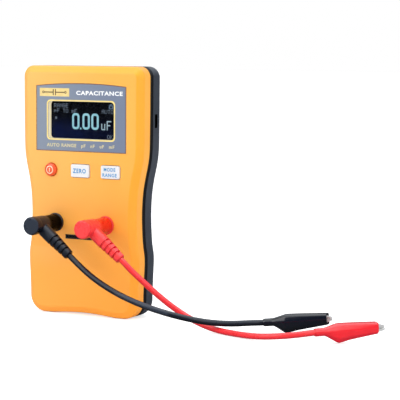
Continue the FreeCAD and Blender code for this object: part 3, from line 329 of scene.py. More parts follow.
def barrel_black_painted_light(mat, col):
    """Soft black plastic: painted light paler on the very front; painted shade beside the case,
    warmed brown as a painted reflection of the case.
    """
    _, y, z = mat.place()
    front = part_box("black_plug_housing")[0].y
    face_mask = mat.ramp(y, over=(front + 0.0008, front + 0.0004), to=(0.0, 0.8))
    col = mat.tint(col, (42, 50, 64), face_mask)
    return under_black_shade(mat, mat.tint(col, (9, 4, 3), near_case(mat, y, z)))


def barrel_red_painted_light(mat, col):
    """Soft red plastic: painted light paler on the cap and arm, painted shade deeper on the barrel
    beside the case.
    """
    _, y, z = mat.place()
    col = mat.tint(col, (250, 66, 64), mat.ramp(z, over=(0.043, 0.050)), amount=0.6)
    return under_red_shade(mat, mat.tint(col, (224, 16, 8), near_case(mat, y, z), amount=0.95))


def barrel_shade(mat):
    """The barrel lies in the dark between its own cap and the case."""
    _, y, z = mat.place()
    return mat.times(mat.ramp(y, over=(-0.0340, -0.0295)), mat.ramp(z, over=(0.0590, 0.0608)),
                     0.92)


def rear_painted_light(mat, col):
    """Painted light: the dark back cover is a touch paler at its waist."""
    z = mat.place()[2]
    waist = mat.times(mat.ramp(z, over=(0.06, 0.098)), mat.ramp(z, over=(0.150, 0.118)))
    return mat.tint(col, (60, 65, 75), waist, amount=0.8)


def overlay_painted_shade(mat, col):
    """Front overlay: painted shade darker to the right, and a thin brown painted shadow of the gap
    round it, crowned at the top.
    """
    x, _, z = mat.place()
    col = mat.tint(col, (112, 124, 148), mat.ramp(x, over=(-0.038, 0.038)))
    side = mat.ramp(mat.math("ABSOLUTE", x), over=(0.03735, 0.03755))
    crown = mat.math("SUBTRACT", 0.16942, mat.times(x, x, 1.354))
    rim = mat.ramp(mat.math("SUBTRACT", crown, z), over=(0.0006, 0.0004))
    foot = mat.ramp(z, over=(0.12085, 0.12065))
    border = mat.math("MAXIMUM", mat.math("MAXIMUM", side, rim), foot)
    return mat.tint(col, (126, 92, 62), border, amount=0.7)


def side_opening_shade(mat):
    """Walls of the narrow opening around the USB socket, painted black as shade."""
    x, y, z = mat.place()
    lo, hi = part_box("usb_socket")
    off_y = mat.math("ABSOLUTE", mat.math("SUBTRACT", y, (lo.y + hi.y) / 2))
    off_z = mat.math("ABSOLUTE", mat.math("SUBTRACT", z, (lo.z + hi.z) / 2))
    return mat.times(mat.ramp(off_y, over=(0.00188, 0.00182)),
                     mat.ramp(off_z, over=(0.00498, 0.00492)),
                     mat.ramp(x, over=(0.0400, 0.0404)))


def board_tint(mat, col):
    """Copper tracks under the solder mask: fine paler lines on a grid."""
    x, _, z = mat.place()
    flat = mat.add("ShaderNodeCombineXYZ", {0: x, 1: z}).outputs[0]
    grid = mat.add("ShaderNodeTexBrick", {"Vector": flat, "Scale": 160.0, "Mortar Size": 0.06})
    return mat.tint(col, (52, 140, 82), grid.outputs["Fac"], amount=0.6)


def sleeve_tint(mat, col):
    """Sleeve of the cells: dark below, bright above."""
    return mat.tint(col, (198, 160, 84), mat.ramp(mat.place()[2], over=(0.0448, 0.0452)))


# ------------------------------------------------------------------ the materials
# painted light and shade on the case front, and painted shade in its hollows
plastic("case_front", (255, 178, 72), (254, 174, 67), rough=(0.38, 0.50), grain=(2400.0, 0.010),
        soft=0.35, wear=(255, 212, 130), mottle=0.03, extra=front_painted_light, spec=0.42,
        hollow=(1.6, (150, 74, 16), 0.85))
# painted shade in the back cover's hollows and side opening, painted light at its waist
plastic("case_rear", (50, 56, 66), (45, 51, 61), rough=(0.40, 0.53), grain=(1900.0, 0.016),
        soft=0.3, wear=(92, 98, 106), mottle=0.10, hollow=(3.0, (1, 1, 2), 1.0),
        dark=side_opening_shade, extra=rear_painted_light)
# painted shade to the right and a painted shadow line round the overlay
plastic("overlay", (134, 145, 162), (129, 140, 158), rough=(0.34, 0.42), grain=(3600.0, 0.005),
        soft=0.08, wear=(170, 178, 190), wear_reach=0.3, mottle=0.03, extra=overlay_painted_shade)
# the bezel glows faintly: painted light on the window's inner walls
plastic("bezel", (252, 242, 208), (248, 236, 200), rough=(0.4, 0.5), grain=(2800.0, 0.006),
        soft=0.1, mottle=0.06, glow=((250, 238, 200), 0.22))
plastic("key_white", (231, 232, 234), (224, 226, 229), rough=(0.30, 0.40), grain=(2600.0, 0.005),
        soft=0.15, mottle=0.03, wear=(255, 255, 255), wear_reach=0.4)
plastic("key_red", (244, 96, 44), (236, 82, 36), rough=(0.28, 0.38), grain=(2600.0, 0.005),
        soft=0.15, mottle=0.03, coat=0.2)
plastic("black_plastic", (17, 18, 21), (13, 14, 17), rough=(0.30, 0.42), grain=(2300.0, 0.010),
        soft=0.2, wear=(66, 68, 72), wear_reach=0.5, mottle=0.12)
plastic("red_plastic", (236, 52, 48), (228, 44, 42), rough=(0.32, 0.44), grain=(2300.0, 0.008),
        soft=0.2, wear=(250, 110, 100), wear_reach=0.5)
# painted light and shade on the black plug housing and lead, and painted shade in their hollows
plastic("black_pvc", (19, 26, 39), (15, 21, 33), rough=(0.24, 0.36), grain=(1700.0, 0.008),
        soft=0.3, wear=(44, 50, 60), wear_reach=0.2, mottle=0.10, patch=60.0, spec=0.3,
        extra=barrel_black_painted_light, hollow=(0.7, (2, 2, 3), 0.6), dark=barrel_shade)
plastic("seal_black", (12, 12, 14), (9, 9, 11), rough=(0.5, 0.62), grain=(2400.0, 0.010),
        soft=0.2, wear=(34, 35, 38), wear_reach=0.4, mottle=0.1, spec=0.25)
# painted light and shade on the red plug housing and lead, and painted shade in their hollows
plastic("red_pvc", (243, 42, 50), (238, 36, 44), rough=(0.24, 0.36), grain=(1700.0, 0.007),
        soft=0.3, wear=(254, 92, 92), wear_reach=0.2, patch=60.0, extra=barrel_red_painted_light,
        hollow=(0.7, (120, 10, 16), 0.6))
metal("nickel", (222, 220, 216), (204, 202, 198))
metal("copper", (214, 132, 92), (196, 112, 74), rough=(0.3, 0.45))
metal("brass", (216, 178, 92), (196, 158, 76), rough=(0.24, 0.4))
metal("steel", (244, 243, 240), (230, 230, 228), rough=(0.26, 0.42), grime=0.08, full=0.62)
# the socket's metal shell is painted near black as the shade inside its opening, not its own
# colour
metal("socket_shell_shade", (24, 24, 26), (18, 18, 20), rough=(0.5, 0.65), grime=0.4, full=0.5)
plastic("component_black", (30, 30, 32), (24, 24, 26), rough=(0.5, 0.62), grain=(3800.0, 0.01),
        soft=0.1)
plastic("component_tan", (206, 176, 132), (190, 158, 116), rough=(0.4, 0.5),
        grain=(3800.0, 0.008), soft=0.1)
plastic("capacitor_can", (44, 58, 104), (38, 50, 92), rough=(0.3, 0.4), grain=(3800.0, 0.004),
        soft=0.15, coat=0.3)
plastic("flex_amber", (196, 128, 46), (182, 112, 34), rough=(0.28, 0.38), grain=(3000.0, 0.003),
        soft=0.05)
plastic("board_green", (20, 92, 54), (16, 82, 48), rough=(0.26, 0.36), grain=(2600.0, 0.004),
        soft=0.08, coat=0.3, extra=board_tint)
plastic("cell_sleeve", (38, 40, 46), (32, 34, 40), rough=(0.2, 0.3), grain=(2600.0, 0.003),
        soft=0.2, coat=0.4, extra=sleeve_tint)


def display_glass():
    """Unlit display: near black, with a blue cast towards its lower left corner."""
    mat = Mat("display")
    x, _, z = mat.place()
    lo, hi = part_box("display_module")
    leftward = mat.ramp(x, over=(0.020, -0.026))
    downward = mat.ramp(z, over=(hi.z - 0.012, lo.z + 0.004))
    cast = mat.times(downward, mat.math("ADD", 0.35, mat.times(leftward, 0.65)))
    col = mat.mix(cast, lin((4, 5, 10)), lin((12, 22, 62)))
    col = mat.tint(col, (2, 3, 7), mat.cloud(90.0), amount=0.25)
    normal = mat.bump(mat.noise(2400.0, detail=1.0), depth=0.002, strength=0.6)
    mat.shade(Base_Color=col, Roughness=mat.cloud(160.0, to=(0.2, 0.3)), Normal=normal,
              Emission_Color=col, Emission_Strength=0.15, Specular_IOR_Level=0.06)


def clear_window():
    """Thin clear window: mostly see-through, a little gloss that grows at grazing angles."""
    mat = Mat("lens")
    clear = mat.add("ShaderNodeBsdfTransparent", {"Color": (0.93, 0.95, 0.97, 1)})
    rough = mat.cloud(60.0, detail=4.0, over=(0.3, 0.75), to=(0.06, 0.14))
    scratch = mat.bump(mat.lines(scale=(900.0, 900.0, 60.0)), depth=0.0008, strength=0.4)
    gloss = mat.add("ShaderNodeBsdfGlossy", {
        "Color": (1, 1, 1, 1), "Roughness": rough, "Normal": scratch})
    fresnel = mat.add("ShaderNodeFresnel", {"IOR": 1.42}).outputs[0]
    mat.surface(mat.add("ShaderNodeMixShader", {
        0: mat.times(fresnel, 0.07), 1: clear.outputs[0], 2: gloss.outputs[0]}))


display_glass()
clear_window()
ink("ink_white", (250, 250, 250), (240, 242, 245))
ink("ink_yellow", (246, 222, 140), (240, 214, 128))
ink("ink_pale_yellow", (226, 214, 160), (216, 204, 150))
ink("ink_brown", (88, 62, 34), (76, 52, 28))
ink("ink_blue", (62, 148, 206), (54, 138, 198))
ink("ink_cream", (255, 226, 196), (250, 216, 184))
ink("ink_tag", (238, 212, 142), (232, 204, 130))
lit("pixels_bright", (170, 226, 234), (150, 212, 224), power=0.95)
lit("pixels_dim", (138, 152, 168), (122, 138, 156), power=0.54)
lit("pixels_unit", (186, 212, 222), (172, 200, 212), power=0.85)
lit("pixels_badge", (108, 134, 158), (96, 122, 148), power=0.6)


# ------------------------------------------------------------------ CAD pieces
def smooth_group():
    """Geometry nodes that weld the mesh and shade it smooth across shallow edges."""
    group = bpy.data.node_groups.new("weld_and_shade", "GeometryNodeTree")
    for side in ("INPUT", "OUTPUT"):
        group.interface.new_socket("Geometry", in_out=side, socket_type="NodeSocketGeometry")
    new, link = group.nodes.new, group.links.new
    source, result = new("NodeGroupInput"), new("NodeGroupOutput")
    weld = new("GeometryNodeMergeByDistance")
    weld.inputs["Distance"].default_value = 2e-6
    faces = new("GeometryNodeSetShadeSmooth")
    faces.domain = "FACE"
    edges = new("GeometryNodeSetShadeSmooth")
    edges.domain = "EDGE"
    angle = new("GeometryNodeInputMeshEdgeAngle")
    shallow = new("FunctionNodeCompare")
    shallow.data_type = "FLOAT"
    shallow.operation = "LESS_THAN"
    shallow.inputs[1].default_value = math.radians(34)
    link(source.outputs[0], weld.inputs["Geometry"])
    link(weld.outputs[0], faces.inputs["Geometry"])
    link(faces.outputs[0], edges.inputs["Geometry"])
    link(angle.outputs["Unsigned Angle"], shallow.inputs[0])
    link(shallow.outputs[0], edges.inputs["Shade Smooth"])
    link(edges.outputs[0], result.inputs[0])
    return group


SMOOTH = smooth_group()
for name, piece in NODES.items():
    mesh = piece.data
    if "custom_normal" in mesh.attributes:
        mesh.attributes.remove(mesh.attributes["custom_normal"])
    mesh.materials.clear()
    # the USB socket takes the shell darkened with painted shade
    mesh.materials.append(MATERIALS["socket_shell_shade" if name == "usb_socket" else SLOT[name]])
    piece.modifiers.new("weld", "NODES").node_group = SMOOTH
    weighted = piece.modifiers.new("normals", "WEIGHTED_NORMAL")
    weighted.keep_sharp = True
    weighted.weight = 50


# ------------------------------------------------------------------ mesh helpers
def new_mesh(name, verts, faces, material, smooth=False):
    mesh = bpy.data.meshes.new(name)
    mesh.from_pydata([tuple(v) for v in verts], [], [tuple(f) for f in faces])
    mesh.validate()
    mesh.materials.append(MATERIALS[material])
    if smooth:
        mesh.polygons.foreach_set("use_smooth", [True] * len(mesh.polygons))
    piece = bpy.data.objects.new(name, mesh)
    bpy.context.scene.collection.objects.link(piece)
    return piece


@cache
def surface_tree(node):
    mesh = NODES[node].data
    return BVHTree.FromPolygons([v.co.copy() for v in mesh.vertices],
                                [tuple(p.vertices) for p in mesh.polygons])


def front_y(node, x, z):
    """Where a ray from the front first meets the CAD piece."""
    return surface_tree(node).ray_cast(Vector((x, -0.1, z)), Vector((0, 1, 0)))[0].y


# Flat shapes are (points, faces): points are (x, z) in mm, and faces turn counter-clockwise
# seen from the front.
def rounded(cz, width, height, radius, steps=8):
    """Outline of a rounded rectangle centred on x = 0."""
    pts = []
    for quarter, (sx, sz) in enumerate(((1, 1), (-1, 1), (-1, -1), (1, -1))):
        for i in range(steps + 1):
            a = math.radians(90 * quarter + 90 * i / steps)
            pts.append((sx * (width / 2 - radius) + radius * math.cos(a),
                        cz + sz * (height / 2 - radius) + radius * math.sin(a)))
    return pts


def circle(cx, cz, radius, sides):
    turns = [2 * math.pi * i / sides for i in range(sides)]
    return [(cx + radius * math.cos(a), cz + radius * math.sin(a)) for a in turns]


def ring(*loops):
    """Faces between successive loops, outermost first."""
    n = len(loops[0])
    faces = [(i + b, (i + 1) % n + b, (i + 1) % n + n + b, i + n + b)
             for b in range(0, n * (len(loops) - 1), n) for i in range(n)]
    return [point for loop in loops for point in loop], faces


def merge(*shapes):
    pts, faces = [], []
    for shape_pts, shape_faces in shapes:
        first = len(pts)
        pts += shape_pts
        faces += [tuple(i + first for i in face) for face in shape_faces]
    return pts, faces


def bar(x0, x1, z0, z1, nx=1, nz=1):
    """Rectangle cut into nx by nz cells."""
    pts = [(x0 + (x1 - x0) * i / nx, z0 + (z1 - z0) * j / nz)
           for j in range(nz + 1) for i in range(nx + 1)]
    row = nx + 1
    faces = [(j * row + i, j * row + i + 1, (j + 1) * row + i + 1, (j + 1) * row + i)
             for j in range(nz) for i in range(nx)]
    return pts, faces


def lettering(text, x0, x1, z0, z1, bold, spacing):
    """Plain sans lettering fitted to the box."""
    curve = bpy.data.curves.new("t", "FONT")
    curve.body = text
    curve.offset = bold
    curve.space_character = spacing
    curve.resolution_u = 3
    holder = bpy.data.objects.new("t", curve)
    bpy.context.scene.collection.objects.link(holder)
    bpy.context.view_layer.update()
    evaluated = holder.evaluated_get(bpy.context.evaluated_depsgraph_get())
    mesh = bpy.data.meshes.new_from_object(evaluated)
    bm = bmesh.new()
    bm.from_mesh(mesh)
    bmesh.ops.remove_doubles(bm, verts=bm.verts, dist=1e-5)
    bm.verts.index_update()
    pts = [(v.co.x, v.co.y) for v in bm.verts]
    faces = []
    for face in bm.faces:
        ids = [v.index for v in face.verts]
        area = sum(pts[a][0] * pts[b][1] - pts[b][0] * pts[a][1]
                   for a, b in zip(ids, ids[1:] + ids[:1]))
        if abs(area) >= 1e-9:
            faces.append(tuple(ids if area > 0 else reversed(ids)))
    bm.free()
    bpy.data.objects.remove(holder)
    bpy.data.curves.remove(curve)
    bpy.data.meshes.remove(mesh)
    lo, hi = np.min(pts, axis=0), np.max(pts, axis=0)
    scale_x, scale_z = (x1 - x0) / (hi[0] - lo[0]), (z1 - z0) / (hi[1] - lo[1])
    return [(x0 + (x - lo[0]) * scale_x, z0 + (z - lo[1]) * scale_z) for x, z in pts], faces


# ------------------------------------------------------------------ printed marks
OVERLAY = "overlay_panel"
BODY = {OVERLAY: "meter", "zero_button": "zero_key", "range_button": "range_key",
        "power_button": "power_key"}
SUNK = 0.01                          # how far each print reaches into its surface, mm
WINDOW_Z = 142.79                    # centre of the window and the display
TAG_X, TAG_Z = -22.4, 162.8          # centre of the tag at the top left
TAG_WIDTH, TAG_HEIGHT = 25.4, 6.0
POWER_X, POWER_Z = -25.0, 106.3
RANGE_KEY_X = 25.4


def printed(name, shape, node, material, proud=0.03):
    """A thin closed layer on the front of a CAD piece, standing proud by so many mm."""
    pts, faces = shape
    n = len(pts)
    surface = [front_y(node, x * MM, z * MM) for x, z in pts]
    verts = [(x * MM, y + shift * MM, z * MM)
             for shift in (-proud, SUNK) for (x, z), y in zip(pts, surface)]
    closed = list(faces) + [tuple(i + n for i in reversed(face)) for face in faces]
    edges = dict.fromkeys(e for face in faces for e in zip(face, face[1:] + face[:1]))
    closed += [(b, a, a + n, b + n) for a, b in edges if (b, a) not in edges]
    mark = new_mesh(name, verts, closed, material)
    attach(mark, BODY[node])


def capacitor_symbol():
    """Two plates, their leads and a small ring at each end."""
    lead, plate, end_ring = 0.35, 2.2, 9.5       # half thickness, half height, ring centre
    ends = [ring(*(circle(TAG_X + side * end_ring, TAG_Z, radius, 20) for radius in (0.95, 0.45)))
            for side in (-1, 1)]
    return merge(
        bar(TAG_X - 8.6, TAG_X - 1.35, TAG_Z - lead, TAG_Z + lead, 4, 1),
        bar(TAG_X + 1.35, TAG_X + 8.6, TAG_Z - lead, TAG_Z + lead, 4, 1),
        bar(TAG_X - 1.35, TAG_X - 0.6, TAG_Z - plate, TAG_Z + plate, 1, 4),
        bar(TAG_X + 0.6, TAG_X + 1.35, TAG_Z - plate, TAG_Z + plate, 1, 4),
        *ends)


printed("window_line",
        ring(rounded(WINDOW_Z, width=58.02, height=29.3, radius=3.1),
             rounded(WINDOW_Z, width=56.0, height=27.3, radius=2.7)),
        OVERLAY, "ink_yellow")
printed("tag_ground",
        bar(TAG_X - TAG_WIDTH / 2, TAG_X + TAG_WIDTH / 2,
            TAG_Z - TAG_HEIGHT / 2, TAG_Z + TAG_HEIGHT / 2, 6, 2),
        OVERLAY, "ink_tag", proud=0.025)
printed("tag_symbol", capacitor_symbol(), OVERLAY, "ink_brown", proud=0.05)

# name, CAD piece, ink, proud mm, bold, spacing, lines of (text, x0, x1, z0, z1)
WORDS = [
    ("title_word", OVERLAY, "ink_white", 0.03, 0.035, 1.12,
     [("CAPACITANCE", -3.7, 35.2, 161.1, 164.2)]),
    ("range_word", OVERLAY, "ink_pale_yellow", 0.03, 0.022, 1.15,
     [("AUTO RANGE   pF   nF   uF   mF", -29.0, 28.5, 122.5, 125.7)]),
    ("zero_legend", "zero_button", "ink_blue", 0.025, 0.03, 1.15,
     [("ZERO", -5.9, 5.2, 104.6, 108.0)]),
    ("range_legend", "range_button", "ink_blue", 0.025, 0.03, 1.15,
     [("MODE", RANGE_KEY_X - 5.1, RANGE_KEY_X + 4.6, 106.9, 109.5),
      ("RANGE", RANGE_KEY_X - 6.2, RANGE_KEY_X + 5.8, 102.9, 105.5)]),
]
for name, node, colour, proud, bold, spacing, lines in WORDS:
    shape = merge(*(lettering(*line, bold=bold, spacing=spacing) for line in lines))
    printed(name, shape, node, colour, proud)

power_ring = ring(*(circle(POWER_X, POWER_Z, radius, 72) for radius in (2.95, 2.62, 2.3)))
power_bar = bar(POWER_X - 0.32, POWER_X + 0.32, POWER_Z - 1.35, POWER_Z + 1.35, 2, 6)
printed("power_symbol", merge(power_ring, power_bar), "power_button", "ink_cream")


# ------------------------------------------------------------------ display picture of square dots
# each glyph is 7 rows of 5 dots
GLYPH = {
    "A": "01110 10001 10001 11111 10001 10001 10001",
    "E": "11111 10000 10000 11110 10000 10000 11111",
    "F": "11111 10000 10000 11110 10000 10000 10000",
    "G": "01110 10001 10000 10111 10001 10001 01110",
    "K": "10001 10010 10100 11000 10100 10010 10001",
    "N": "10001 11001 10101 10011 10001 10001 10001",
    "O": "01110 10001 10001 10001 10001 10001 01110",
    "R": "11110 10001 10001 11110 10100 10010 10001",
    "T": "11111 00100 00100 00100 00100 00100 00100",
    "U": "10001 10001 10001 10001 10001 10001 01110",
    "m": "00000 00000 11010 10101 10101 10101 10101",
    "p": "00000 00000 11110 10001 11110 10000 10000",
}
GLYPH_STEP = 6
COLS, ROWS, PITCH = 128, 64, 0.42    # dots across, dots down, and their pitch in mm
DOT_HALF = PITCH * 0.46
DOT_PROUD = 0.035
# the big zeros, in dots
ZERO_TOP, ZERO_WIDTH, ZERO_HEIGHT, ZERO_STROKE, ZERO_CORNER = 20, 15, 28, 4, 6.0
ZERO_COLS = (39, 60, 78)
U_TOP, U_LEFT = ZERO_TOP + 17, 98
F_TOP, F_LEFT = ZERO_TOP + 12, 109
# text, left column, top row
SMALL_TEXT = [("RANGE", 2, 4), ("pF TO mF", 2, 13), ("AUTO", 99, 13), ("OK", 110, 56)]
# brightness, top row, rows, left column, columns, lit
BLOCKS = [
    ("dim", 27, 4, 4, 4, True),
    # badge at the top right: body, its upper part, and the hole in it
    ("badge", 5, 7, 113, 9, True),
    ("badge", 3, 2, 115, 5, True),
    ("badge", 7, 3, 116, 3, False),
    # decimal point
    ("bright", ZERO_TOP + 25, 3, 55, 3, True),
    # u
    ("unit", U_TOP, 10, U_LEFT, 2, True),
    ("unit", U_TOP, 11, U_LEFT + 6, 2, True),
    ("unit", U_TOP + 9, 2, U_LEFT + 1, 5, True),
    # F
    ("unit", F_TOP, 16, F_LEFT, 2, True),
    ("unit", F_TOP, 2, F_LEFT, 9, True),
    ("unit", F_TOP + 7, 2, F_LEFT, 7, True),
]
dots = {key: np.zeros((ROWS, COLS), bool) for key in ("bright", "dim", "badge", "unit")}


def draw_text(text, col, row):
    for place, letter in enumerate(text):
        if letter == " ":
            continue
        for j, line in enumerate(GLYPH[letter].split()):
            for i, mark in enumerate(line):
                if mark == "1":
                    dots["dim"][row + j, col + place * GLYPH_STEP + i] = True


def zero_holds(i, j, inset):
    """Whether the dot lies in the zero's rounded outline drawn in by inset."""
    corner = ZERO_CORNER - inset
    x = abs(i + 0.5 - ZERO_WIDTH / 2) - (ZERO_WIDTH / 2 - inset - corner)
    y = abs(j + 0.5 - ZERO_HEIGHT / 2) - (ZERO_HEIGHT / 2 - inset - corner)
    return math.hypot(max(x, 0), max(y, 0)) + min(max(x, y), 0) <= corner


def draw_zero(col):
    for j in range(ZERO_HEIGHT):
        for i in range(ZERO_WIDTH):
            if zero_holds(i, j, 0) and not zero_holds(i, j, ZERO_STROKE):
                dots["bright"][ZERO_TOP + j, col + i] = True


def dot_mesh(key, grid):
    """One thin box for every lit dot."""
    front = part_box("display_module")[0].y
    verts, faces = [], []
    for j, i in zip(*np.nonzero(grid)):
        x = (i - COLS / 2 + 0.5) * PITCH
        z = WINDOW_Z + (ROWS / 2 - j - 0.5) * PITCH
        b = len(verts)
        for y in (front - DOT_PROUD * MM, front + SUNK * MM):
            verts += [((x + sx * DOT_HALF) * MM, y, (z + sz * DOT_HALF) * MM)
                      for sx, sz in ((-1, -1), (1, -1), (1, 1), (-1, 1))]
        faces += [(b, b + 1, b + 2, b + 3), (b + 7, b + 6, b + 5, b + 4)]
        faces += [(b + (k + 1) % 4, b + k, b + k + 4, b + (k + 1) % 4 + 4) for k in range(4)]
    picture = new_mesh("display_dots_" + key, verts, faces, "pixels_" + key)
    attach(picture, "meter")


for text, col, row in SMALL_TEXT:
    draw_text(text, col, row)
for key, top, height, left, width, on in BLOCKS:
    dots[key][top:top + height, left:left + width] = on
for col in ZERO_COLS:
    draw_zero(col)
for key, grid in dots.items():
    dot_mesh(key, grid)


# ------------------------------------------------------------------ cables
# centre lines from plug arm to clip: x, y, z in mm
CENTRE = {
    "black": [
        (-3.46, -37.20, 53.43), (-0.34, -37.21, 50.92), (2.77, -37.18, 48.40),
        (5.91, -37.24, 45.92), (9.15, -37.62, 43.59), (12.44, -38.21, 41.39),
        (15.78, -38.89, 39.28), (19.16, -39.61, 37.27), (22.61, -40.38, 35.37),
        (26.11, -41.18, 33.60), (29.67, -41.99, 31.96), (33.27, -42.81, 30.42),
        (36.92, -43.61, 28.97), (40.60, -44.39, 27.58), (44.31, -45.13, 26.26),
        (48.04, -45.81, 25.00), (51.81, -46.43, 23.78), (55.60, -46.96, 22.62),
        (59.43, -47.41, 21.51), (63.27, -47.75, 20.44), (67.13, -47.97, 19.41),
        (71.01, -48.05, 18.41), (74.90, -47.98, 17.43), (78.78, -47.75, 16.48),
        (82.65, -47.33, 15.55), (86.50, -46.73, 14.64), (90.32, -45.91, 13.74),
        (94.08, -44.86, 12.86), (97.77, -43.57, 12.00), (101.38, -42.03, 11.16),
        (104.88, -40.26, 10.35), (108.27, -38.27, 9.60), (111.55, -36.08, 8.90),
        (114.70, -33.69, 8.28), (117.73, -31.13, 7.74), (120.63, -28.41, 7.28),
        (123.42, -25.56, 6.91), (126.11, -22.60, 6.62), (128.69, -19.55, 6.43),
        (131.22, -16.44, 6.33), (133.83, -13.40, 6.28), (136.66, -10.57, 6.25),
        (139.82, -8.12, 6.25), (143.44, -6.47, 6.47), (147.37, -5.92, 6.97),
        (149.34, -5.70, 7.23),
    ],
    "red": [
        (39.31, -37.20, 53.43), (42.51, -37.20, 50.85), (45.73, -37.22, 48.30),
        (48.89, -37.16, 45.67), (51.88, -36.88, 42.87), (54.81, -36.31, 40.04),
        (57.73, -35.48, 37.27), (60.62, -34.48, 34.53), (63.50, -33.42, 31.80),
        (66.37, -32.33, 29.07), (69.26, -31.23, 26.36), (72.20, -30.16, 23.70),
        (75.21, -29.12, 21.10), (78.32, -28.13, 18.60), (81.53, -27.23, 16.20),
        (84.87, -26.45, 13.93), (88.33, -25.81, 11.81), (91.92, -25.36, 9.86),
        (95.62, -25.14, 8.11), (99.44, -25.14, 6.58), (103.32, -25.37, 5.27),
        (107.26, -25.82, 4.19), (111.23, -26.48, 3.35), (115.20, -27.33, 2.74),
        (119.16, -28.37, 2.36), (123.09, -29.54, 2.16), (127.00, -30.80, 2.10),
        (130.89, -32.11, 2.12), (134.78, -33.44, 2.18), (138.68, -34.75, 2.25),
        (142.59, -36.01, 2.36), (146.52, -37.18, 2.52), (150.49, -38.23, 2.74),
        (154.49, -39.13, 3.04), (158.52, -39.83, 3.41), (162.57, -40.30, 3.85),
        (166.65, -40.47, 4.33), (170.72, -40.29, 4.84), (174.75, -39.68, 5.35),
        (178.69, -38.64, 5.85), (182.51, -37.23, 6.38), (186.20, -35.51, 6.96),
        (189.72, -33.46, 7.53), (192.98, -31.00, 7.92), (195.96, -28.18, 8.08),
        (197.43, -26.75, 8.14),
    ],
}
CABLE_RADIUS, CABLE_SIDES, CABLE_STEP = 2.1, 28, 1.8
# tail of each clip in mm, its yaw and its upward pitch in degrees
CLIP = {"black": ((142.96, -6.61, 6.42), 8.15, 7.18), "red": ((192.72, -31.22, 7.90), 43.55, 2.13)}


def resample(points, step):
    """Even steps along a cubic through the points, so the tube stays round where it bends."""
    pts = np.array(points, float)
    along = np.r_[0, np.cumsum(np.linalg.norm(np.diff(pts, axis=0), axis=1))]
    wanted = np.linspace(0, along[-1], int(round(along[-1] / step)) + 1)
    slope = np.gradient(pts, along, axis=0)
    j = np.clip(np.searchsorted(along, wanted, side="right") - 1, 0, len(along) - 2)
    span = (along[j + 1] - along[j])[:, None]
    s = (wanted - along[j])[:, None] / span
    return (((1 + 2 * s) * (1 - s) ** 2) * pts[j] + (s * (1 - s) ** 2) * span * slope[j]
            + (s * s * (3 - 2 * s)) * pts[j + 1] + (s * s * (s - 1)) * span * slope[j + 1])


def tube(name, pts, radius, material, sides):
    """Round tube along pts with flat end caps."""
    tangents = np.gradient(pts, axis=0)
    tangents /= np.linalg.norm(tangents, axis=1)[:, None]
    up = np.cross(tangents[0], (0, 0, 1.0))
    verts = []
    for centre, tangent in zip(pts, tangents):
        up = up - tangent * (up @ tangent)
        up /= np.linalg.norm(up)
        side = np.cross(tangent, up)
        for k in range(sides):
            a = 2 * math.pi * k / sides
            verts.append((centre + (up * math.cos(a) + side * math.sin(a)) * radius) * MM)
    last = (len(pts) - 1) * sides
    faces = [(b + k, b + (k + 1) % sides, b + sides + (k + 1) % sides, b + sides + k)
             for b in range(0, last, sides) for k in range(sides)]
    faces.append(range(sides - 1, -1, -1))
    faces.append(range(last, last + sides))
    piece = new_mesh(name, verts, faces, material, smooth=True)
    bm = bmesh.new()
    bm.from_mesh(piece.data)
    bmesh.ops.recalc_face_normals(bm, faces=bm.faces)
    bm.to_mesh(piece.data)
    bm.free()
    for polygon in piece.data.polygons:
        if len(polygon.vertices) > 4:
            polygon.use_smooth = False
    return piece


def lead(colour):
    line = resample(CENTRE[colour], CABLE_STEP)
    cable = tube(colour + "_lead_cable", line, CABLE_RADIUS, colour + "_pvc", CABLE_SIDES)
    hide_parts(colour + "_cable", colour + "_conductor")
    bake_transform(cable)


for colour in ("black", "red"):
    lead(colour)


# ------------------------------------------------------------------ boots of the clips
# painted light and shade on the boots, by the facing of each facet
plastic("black_boot_pvc", (5, 10, 23), (3, 8, 18), rough=(0.12, 0.22), grain=(900.0, 0.012),
        soft=0.25, wear=(40, 46, 56), wear_reach=0.5, mottle=0.12, patch=60.0, spec=0.42,
        extra=boot_black_painted_light)
plastic("red_boot_pvc", (238, 34, 46), (230, 28, 40), rough=(0.14, 0.26), grain=(900.0, 0.010),
        soft=0.25, wear=(254, 96, 100), wear_reach=0.5, mottle=0.06, patch=60.0, extra=under_red_shade)

# mm slid along the clip, and length factor of the front part
SLEEVE = {"black": (0.9, 1.0), "red": (0.0, 0.925)}
FRONT_PART = 24.0                    # where the front part begins, mm from the tail
TAIL_RADIUS = 2.95
TAIL_SECTION = [(TAIL_RADIUS * math.sin(math.radians(t)), TAIL_RADIUS * math.cos(math.radians(t)))
                for t in (18, 54, 90, 126, 162)]
# mm from the tail, then the corners of one half of the section, top to bottom: across, up
SECTIONS = [
    (0.0, TAIL_SECTION),
    (7.4, TAIL_SECTION),
    (16.0, [(1.7, 5.0), (3.7, 3.9), (4.7, 0.5), (4.2, -4.9), (2.6, -8.2)]),
    (24.0, [(2.1, 4.75), (3.8, 3.8), (4.7, 0.2), (4.0, -3.8), (1.9, -6.6)]),
    (46.0, [(2.5, 3.75), (3.7, 2.9), (4.1, 0.0), (3.6, -2.6), (2.3, -3.95)]),
]
STATIONS = [0.0, 0.35, 3.6, 6.9, 7.9, 11.5, 15.4, 16.6, 20.0, 23.4, 24.6, 31.0, 38.0, 45.4, 46.0]
END_SHRINK = {0.0: 0.93, 46.0: 0.985}
SECTION_POINTS = 10
WALL = 0.55


def clip_matrix(colour):
    tail, yaw, pitch = CLIP[colour]
    return (Matrix.Translation(Vector(tail) * MM) @ Matrix.Rotation(math.radians(yaw), 4, "Z")
            @ Matrix.Rotation(math.radians(-pitch), 4, "Y"))


def half_section(station):
    for (s0, before), (s1, after) in zip(SECTIONS, SECTIONS[1:]):
        if station <= s1:
            u = (station - s0) / (s1 - s0)
            return [(p[0] + (q[0] - p[0]) * u, p[1] + (q[1] - p[1]) * u)
                    for p, q in zip(before, after)]


